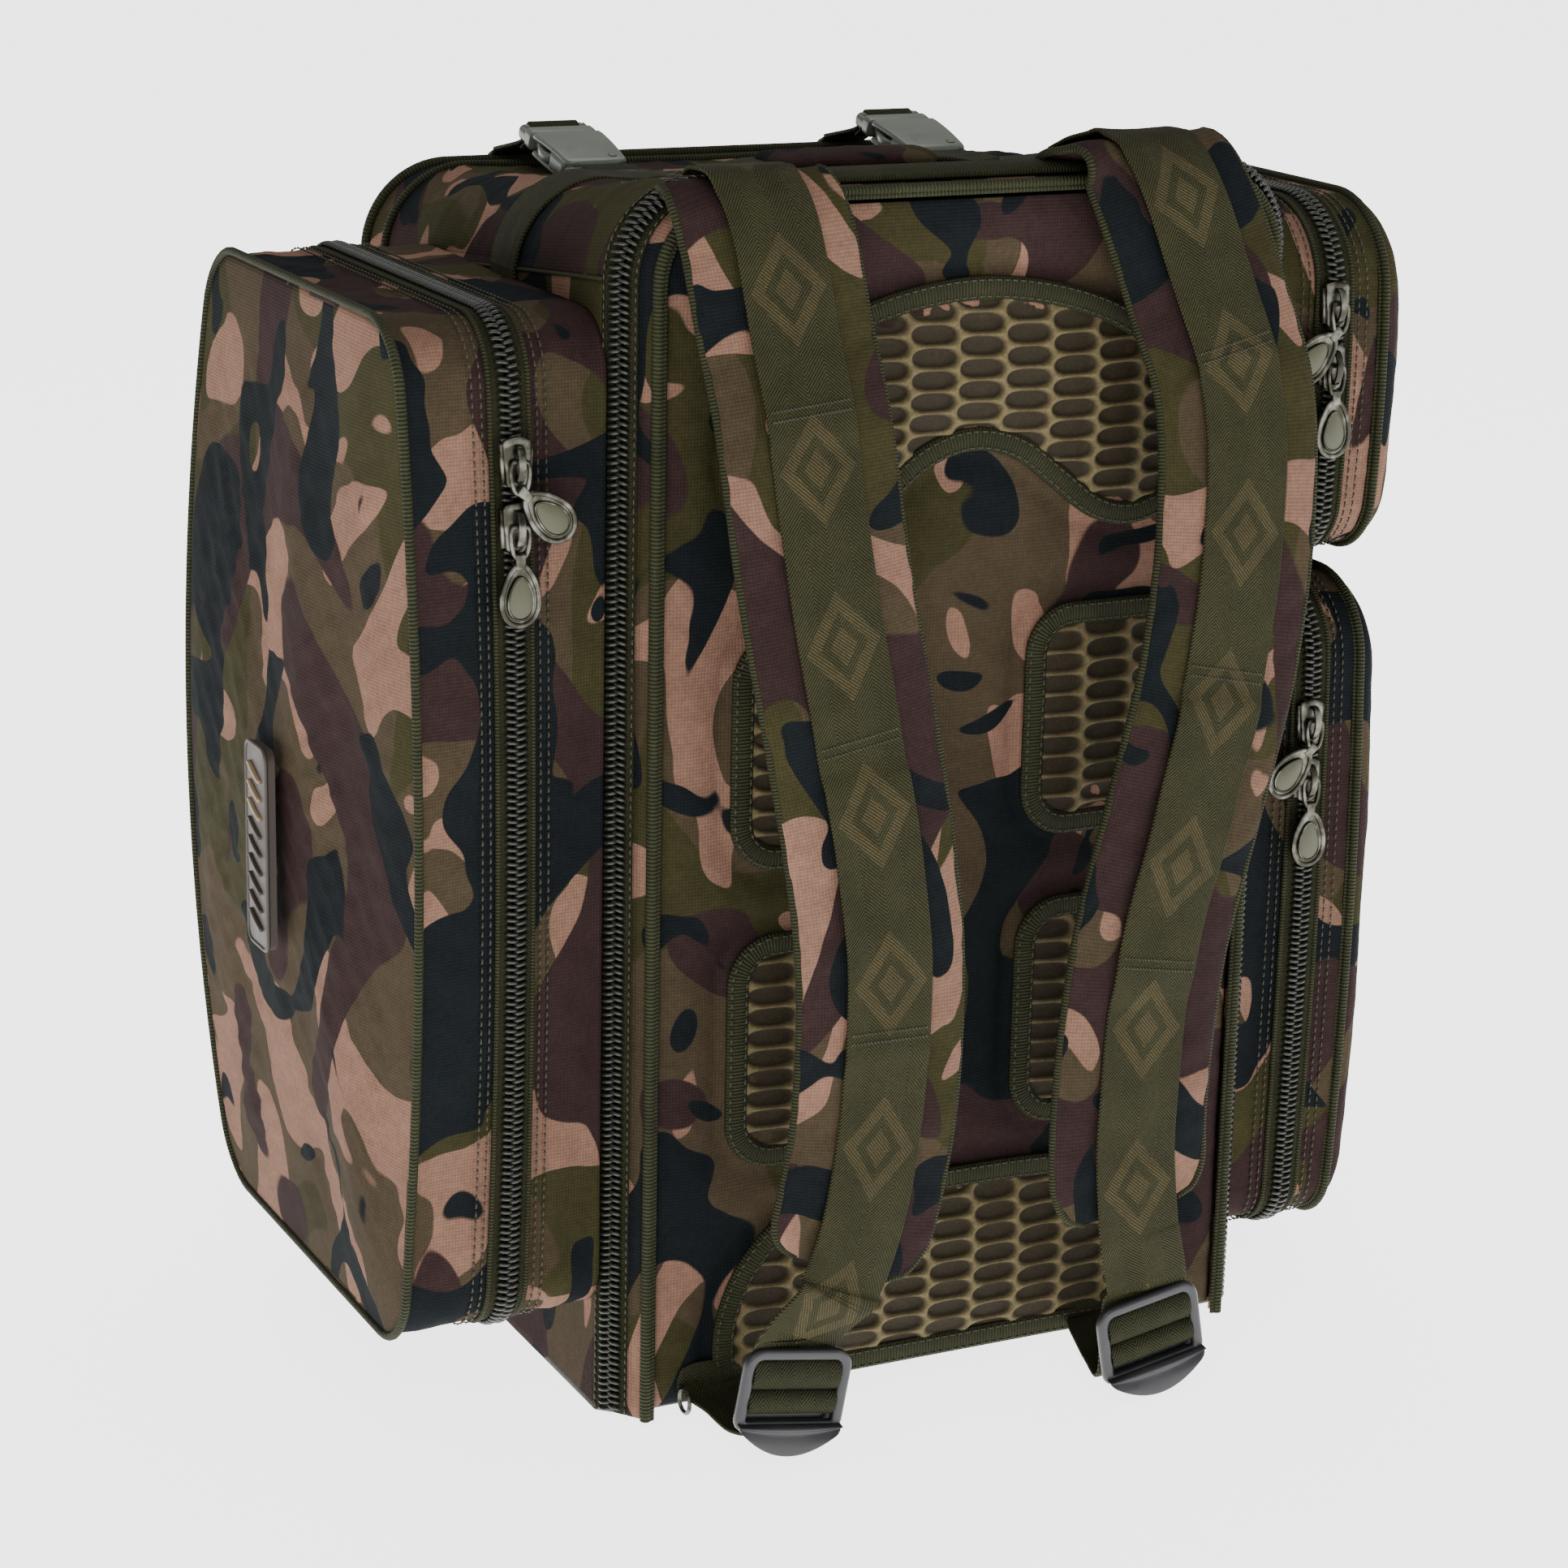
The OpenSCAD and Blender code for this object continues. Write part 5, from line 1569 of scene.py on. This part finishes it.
@dataclass
class ZipPull:
    """A cast slider and its teardrop puller, hung on the CAD slider's place."""

    slider: str
    puller: str
    looks: Finishes
    turn: float = 0.0
    facing: tuple[float, float, float] = (0.0, -1.0, 0.0)
    along: tuple[float, float, float] = (0.0, 0.0, 1.0)

    def basis(self) -> tuple[Array, Array]:
        """Columns are the slider's side, inward and along directions, and its middle."""
        out, along = np.array(self.facing, float), np.array(self.along, float)
        side = np.cross(out, along) * -1.0
        low, high = node_box(self.slider)
        return np.stack([side, -out, along], -1), (low + high) / 2 + 1.9 * -out

    def body(self) -> list[Patch]:
        """Shield-shaped slider with two flared wings and a bail over its back."""
        k = np.linspace(-1, 1, 26)
        path = np.stack([0 * k, -1.2 - 0.5 * np.cos(k * 1.5), k * 10.5], -1)
        width = 5.0 + 1.5 * np.clip(k + 0.2, 0, 1) ** 0.7 + 0.3 * np.cos(3 * k)
        round_end = np.sqrt(np.clip(1 - np.clip(np.abs(k) - 0.8, 0, 1) ** 2 / 0.2 ** 2 * 0.9, 0.08, 1))
        shell = sweep(path, round_section(2.0, 3.6, 0.9), (1, 0, 0),
                      scale=np.stack([width * round_end, 0.8 + 0.2 * round_end], -1))
        bail = through([[0, -2.2, 7.2], [0, -5.6, 6.6], [0, -7.8, 2.5], [0, -7.8, -2.5], [0, -5.6, -6.6],
                        [0, -2.2, -7.2]], 40)
        rails = [sweep(np.array([[s * 5.6, -1.0, -8], [s * 6.0, -0.9, 0], [s * 6.6, -0.9, 8]]),
                       circle_section(1.3, 8), (0, 1, 0)) for s in (-1, 1)]
        return [shell, sweep(bail, round_section(3.4, 1.5, 0.6), (1, 0, 0))] + rails

    def tab(self) -> list[Patch]:
        """Eye, neck and teardrop tab with a raised edge round an inlay, hanging from the bail."""
        y = -5.3
        eye = through([[-3.6, y, 0.2], [0, y, 1.0], [3.6, y, 0.2], [3.9, y - 0.4, -6],
                       [2.0, y - 0.5, -11.5], [-2.0, y - 0.5, -11.5], [-3.9, y - 0.4, -6]], 60, closed=True)
        parts = [sweep(eye, circle_section(1.05, 8), (0, 1, 0), True)]
        collar = np.linspace([0, y - 0.4, -10.0], [0, y - 0.4, -16.5], 10)
        parts.append(sweep(collar, round_section(5.2, 2.8, 1.0), (1, 0, 0),
                           scale=np.stack([np.linspace(1, 0.8, 10), np.ones(10)], -1)))
        drop = self.teardrop(8.4, y - 0.4)
        parts.append(sweep(drop, round_section(2.1, 2.4, 0.8), (0, 1, 0), True))
        parts.append(dome(drop + [0, -0.4, 0], (0, 0.3, 0), 6).facing((0, -1, 0)))
        parts.append(dome(drop + [0, 0.5, 0], (0, -0.3, 0), 6).facing((0, 1, 0)))
        middle = drop.mean(0) + [0, 0, -1.2]
        inner = middle + (drop - drop.mean(0)) * [0.68, 1, 0.70] + [0, -0.9, 0]
        parts.append(sweep(inner, circle_section(0.55, 6), (0, 1, 0), True))
        parts.append(dome(inner, (0, -0.9, 0), 6).facing((0, -1, 0)).using(1))
        return parts

    def teardrop(self, r: float, y: float) -> Array:
        """Teardrop outline: x = 1.16 r sin(a) (0.80 - 0.22 cos(a))^0.9."""
        a = np.linspace(0, 2 * math.pi, 56, endpoint=False)
        x = r * np.sin(a) * (0.80 - 0.22 * np.cos(a)) ** 0.9 * 1.16
        z = -27.5 + 12.8 * np.cos(a)
        return np.stack([x, np.full(a.shape, y), z], -1)

    def build_all(self, slider_body: str, puller_body: str) -> None:
        """Make the slider and its puller and set each on its body."""
        turn, spot = self.basis()
        obj = build(f"{self.slider}_cast", [p.moved(turn, spot) for p in self.body()], [self.looks.metal])
        Piece(obj, slider_body, [self.slider], "gunmetal").fix()
        swing, foot = rotation(self.turn, 1), np.array([0.0, -5.3, -10.6])
        eye, *drop = self.tab()
        drop = [p.moved(swing, foot - swing @ foot) for p in drop]
        parts = [p.moved(turn, spot) for p in [eye] + drop]
        obj = build(f"{self.puller}_cast", parts, [self.looks.metal, self.looks.inlay])
        Piece(obj, puller_body, [self.puller], "gunmetal").fix()


@dataclass
class Badge:
    """Soft rubber badge on the tall pocket: a plain frame with slanted ribs and no lettering."""

    looks: Finishes
    rim: PocketRim
    edge_s: float

    def build_all(self, lift: float) -> None:
        """Raised plate, a rim cord and a column of slanted bars."""
        low, high = node_box("pocket_badge")
        y, z = (low[1] + high[1]) / 2, (low[2] + high[2]) / 2
        x = low[0] - lift
        w, h = 13.0, 46.0
        outline = box_outline((y - w, y + w, z - h, z + h), (5,) * 4, 120)[:-1]
        edge = np.stack([np.full(len(outline), x), outline[:, 0], outline[:, 1]], -1)
        parts = [dome(edge + [-1.4, 0, 0], (-0.6, 0, 0), 8).facing((-1, 0, 0)),
                 grid(np.stack([edge + [3, 0, 0], edge, edge + [-1.4, 0, 0]]), (False, True)).flipped(),
                 sweep(edge + [-1.2, 0, 0], circle_section(1.0, 8), (1, 0, 0), True)]
        for k in range(9):
            mid = z + 34 - 8.5 * k
            bar = through([[x - 2.2, y - 7, mid - 3], [x - 2.5, y, mid], [x - 2.2, y + 7, mid + 3]], 10)
            parts.append(sweep(bar, round_section(2.4, 1.6, 0.6), (1, 0, 0), finish=1 if k < 3 else 0))
        obj = build("rubber_badge", parts, [self.looks.rubber, self.looks.accent])
        Piece(obj, "left_cover", ["pocket_badge"], "badge_rubber").fix()


# ---------------------------------------------------------------- stage


def make_camera() -> None:
    """Three-quarter view from behind the wearer's left, a little above, with a slight roll."""
    azimuth, elevation, roll = math.radians(-26.4), math.radians(16.35), math.radians(1.25)
    back = Vector((math.sin(azimuth) * math.cos(elevation), -math.cos(azimuth) * math.cos(elevation),
                   math.sin(elevation)))
    aim = Vector((-86.0, float(node_box("back_panel")[0][1]), 288.5)) * MM
    right = (-back).cross(Vector((0, 0, 1))).normalized()
    up = right.cross(-back)
    right, up = (right * math.cos(roll) + up * math.sin(roll), up * math.cos(roll) - right * math.sin(roll))
    data = bpy.data.cameras.new("studio_camera")
    data.lens, data.sensor_width = 89.25, 36.0
    data.clip_start, data.clip_end = 0.05, 200.0
    camera = bpy.data.objects.new("studio_camera", data)
    bpy.context.scene.collection.objects.link(camera)
    turn = Matrix((right, up, back)).transposed().to_4x4()
    camera.matrix_world = Matrix.Translation(aim + back * 1.668) @ turn
    bpy.context.scene.camera = camera


def make_stage() -> None:
    """Pale floor, pale surroundings and three soft lights."""
    world = bpy.data.worlds.new("studio")
    world.use_nodes = True
    world.node_tree.nodes["Background"].inputs[0].default_value = (1.0, 1.0, 1.0, 1.0)
    world.node_tree.nodes["Background"].inputs[1].default_value = 0.45
    bpy.context.scene.world = world
    a = np.linspace(0, 2 * math.pi, 96, endpoint=False)
    rim = np.stack([40000 * np.cos(a), 40000 * np.sin(a), np.full(96, -1.0)], -1)
    material, _, shader = start("studio_floor", Roughness=0.9)
    shader.inputs["Base Color"].default_value = linear("#E9E9E9")
    shader.inputs["Emission Color"].default_value = linear("#FFFFFF")
    shader.inputs["Emission Strength"].default_value = 3.0
    floor = build("studio_floor", [dome(rim, (0, 0, 0), 12).facing((0, 0, 1))], [material])
    lamps = (("key", (-1.5, -2.6, 2.4), 1.6, 30.0), ("fill", (2.2, -2.2, 1.2), 1.6, 13.0),
             ("crown", (0.3, 0.8, 2.8), 1.8, 24.0))
    for name, place, size, power in lamps:
        data = bpy.data.lights.new(name, "AREA")
        data.size, data.energy = size, power
        lamp = bpy.data.objects.new(name, data)
        lamp.location = place
        aim = Vector((0, 0, 0.28)) - Vector(place)
        lamp.rotation_euler = aim.to_track_quat("-Z", "Y").to_euler()
        bpy.context.scene.collection.objects.link(lamp)


def pocket_limits(node: str) -> tuple[float, float, float, float]:
    """Low and high y and z of a side pocket's gusset."""
    low, high = node_box(node)
    return (low[1], high[1], low[2], high[2])


def make_pockets(looks: Finishes, sizes: Sizes) -> list[Pocket]:
    """The three side pockets."""
    y0, y1, z0, z1 = pocket_limits("left_pocket_gusset")
    left_rim = PocketRim((y0 + 4, y1, z0, z1), (24, 24, 26, 26), -sizes.half, -1, 94.0, bow=13.0,
                         flare=4.0, lean=8.0)
    pockets = [Pocket("left_pocket", left_rim, looks, "left_cover", "left_pocket_gusset", "left_pocket_zip",
                      ["left_pocket_cover", "left_cover_piping"], 45.0, 93.0, 12.0, 3, 4, (0.13, 0.87),
                      seed=41)]
    y0, y1, z0, z1 = pocket_limits("upper_right_gusset")
    upper_rim = PocketRim((y0, y1, z0, z1), (24, 24, 32, 38), sizes.half, 1, 80.0, bow=5.0, flare=2.0)
    pockets.append(Pocket("upper_pocket", upper_rim, looks, "upper_cover", "upper_right_gusset",
                          "upper_right_zip", ["upper_right_cover", "upper_right_piping"], 30.0, 56.0, 4.0,
                          5, 5, (0.08, 0.92), 20.0, 51))
    y0, y1, z0, z1 = pocket_limits("lower_right_gusset")
    lower_rim = PocketRim((y0, y1, z0, z1), (22, 24, 32, 34), sizes.half, 1, 80.0, bow=6.0, flare=3.0)
    pockets.append(Pocket("lower_pocket", lower_rim, looks, "lower_cover", "lower_right_gusset",
                          "lower_right_zip", ["lower_right_cover", "lower_right_piping"], 30.0, 56.0, 5.0,
                          5, 5, (0.10, 0.90), 20.0, 61))
    return pockets


def make_front_pocket(looks: Finishes, sizes: Sizes) -> Pocket:
    """Front pocket, whose fold is along its foot."""
    low, high = node_box("front_pocket_gusset")
    rim = FrontRim((low[2], high[2], low[0], high[0]), (26, 40, 40, 26), sizes.front_y, 1, 46.0, bow=3.0,
                   flare=3.0, front=True)
    return Pocket("front_pocket", rim, looks, "front_cover", "front_pocket_gusset", "front_pocket_zip",
                  ["front_pocket_cover", "front_cover_piping"], 23.5, 45.0, 8.0, 7, 7, (0.13, 0.87),
                  seed=81)


@dataclass
class FrontRim(PocketRim):
    """Pocket band on the front wall; its loop starts in the middle of the pocket's foot."""

    def base(self, t: Array, s: Array) -> Array:
        """The same outline with height as u, mirrored so that the loop starts at the foot."""
        p = super().base(t, s)
        u0, u1 = self.limits[0], self.limits[1]
        return np.stack([p[..., 2], p[..., 1], u0 + u1 - p[..., 0]], -1)


def main() -> None:
    """Build every sub-assembly in order."""
    logging.basicConfig(level=logging.INFO, format="%(message)s")
    make_camera()
    make_stage()
    looks = Finishes().make()
    sizes = Sizes()
    shell = BodyShell(sizes, looks)
    shell.build_all()
    BackOpening(sizes, looks).build_all()
    BackPanel(sizes, looks).build_all()
    pockets = make_pockets(looks, sizes) + [make_front_pocket(looks, sizes)]
    for pocket in pockets:
        pocket.build_all()
    Badge(looks, pockets[0].rim, 93.0).build_all(9.0)
    ShoulderStrap("left", looks, STRAP_LINES["left"], (-104, -213, 50), -112, (122, 262, 392),
                  -10.0).build_all()
    ShoulderStrap("right", looks, STRAP_LINES["right"], (69, -215, 46), 84, (140, 282, 412),
                  10.0).build_all()
    TopStraps(looks, sizes).build_all()
    GrabHandle(looks, shell).build_all()
    for pocket, turns in (("left", (-48, 0)), ("upper", (46, 0)), ("lower", (46, 0))):
        for letter, turn in zip("ab", turns):
            slider, puller = f"{pocket}_slider_{letter}", f"{pocket}_puller_{letter}"
            ZipPull(slider, puller, looks, turn).build_all(slider, puller)
    lean = math.radians(52)
    ZipPull("main_slider", "main_puller", looks, 0, (math.sin(lean), -math.cos(lean), 0)
            ).build_all("main_slider", "main_puller")
    ZipPull("front_slider", "front_puller", looks, 0, (0, 0, 1), (1, 0, 0)
            ).build_all("front_slider", "front_puller")
    log.info("the rucksack is dressed")


if __name__ == "__main__":
    main()
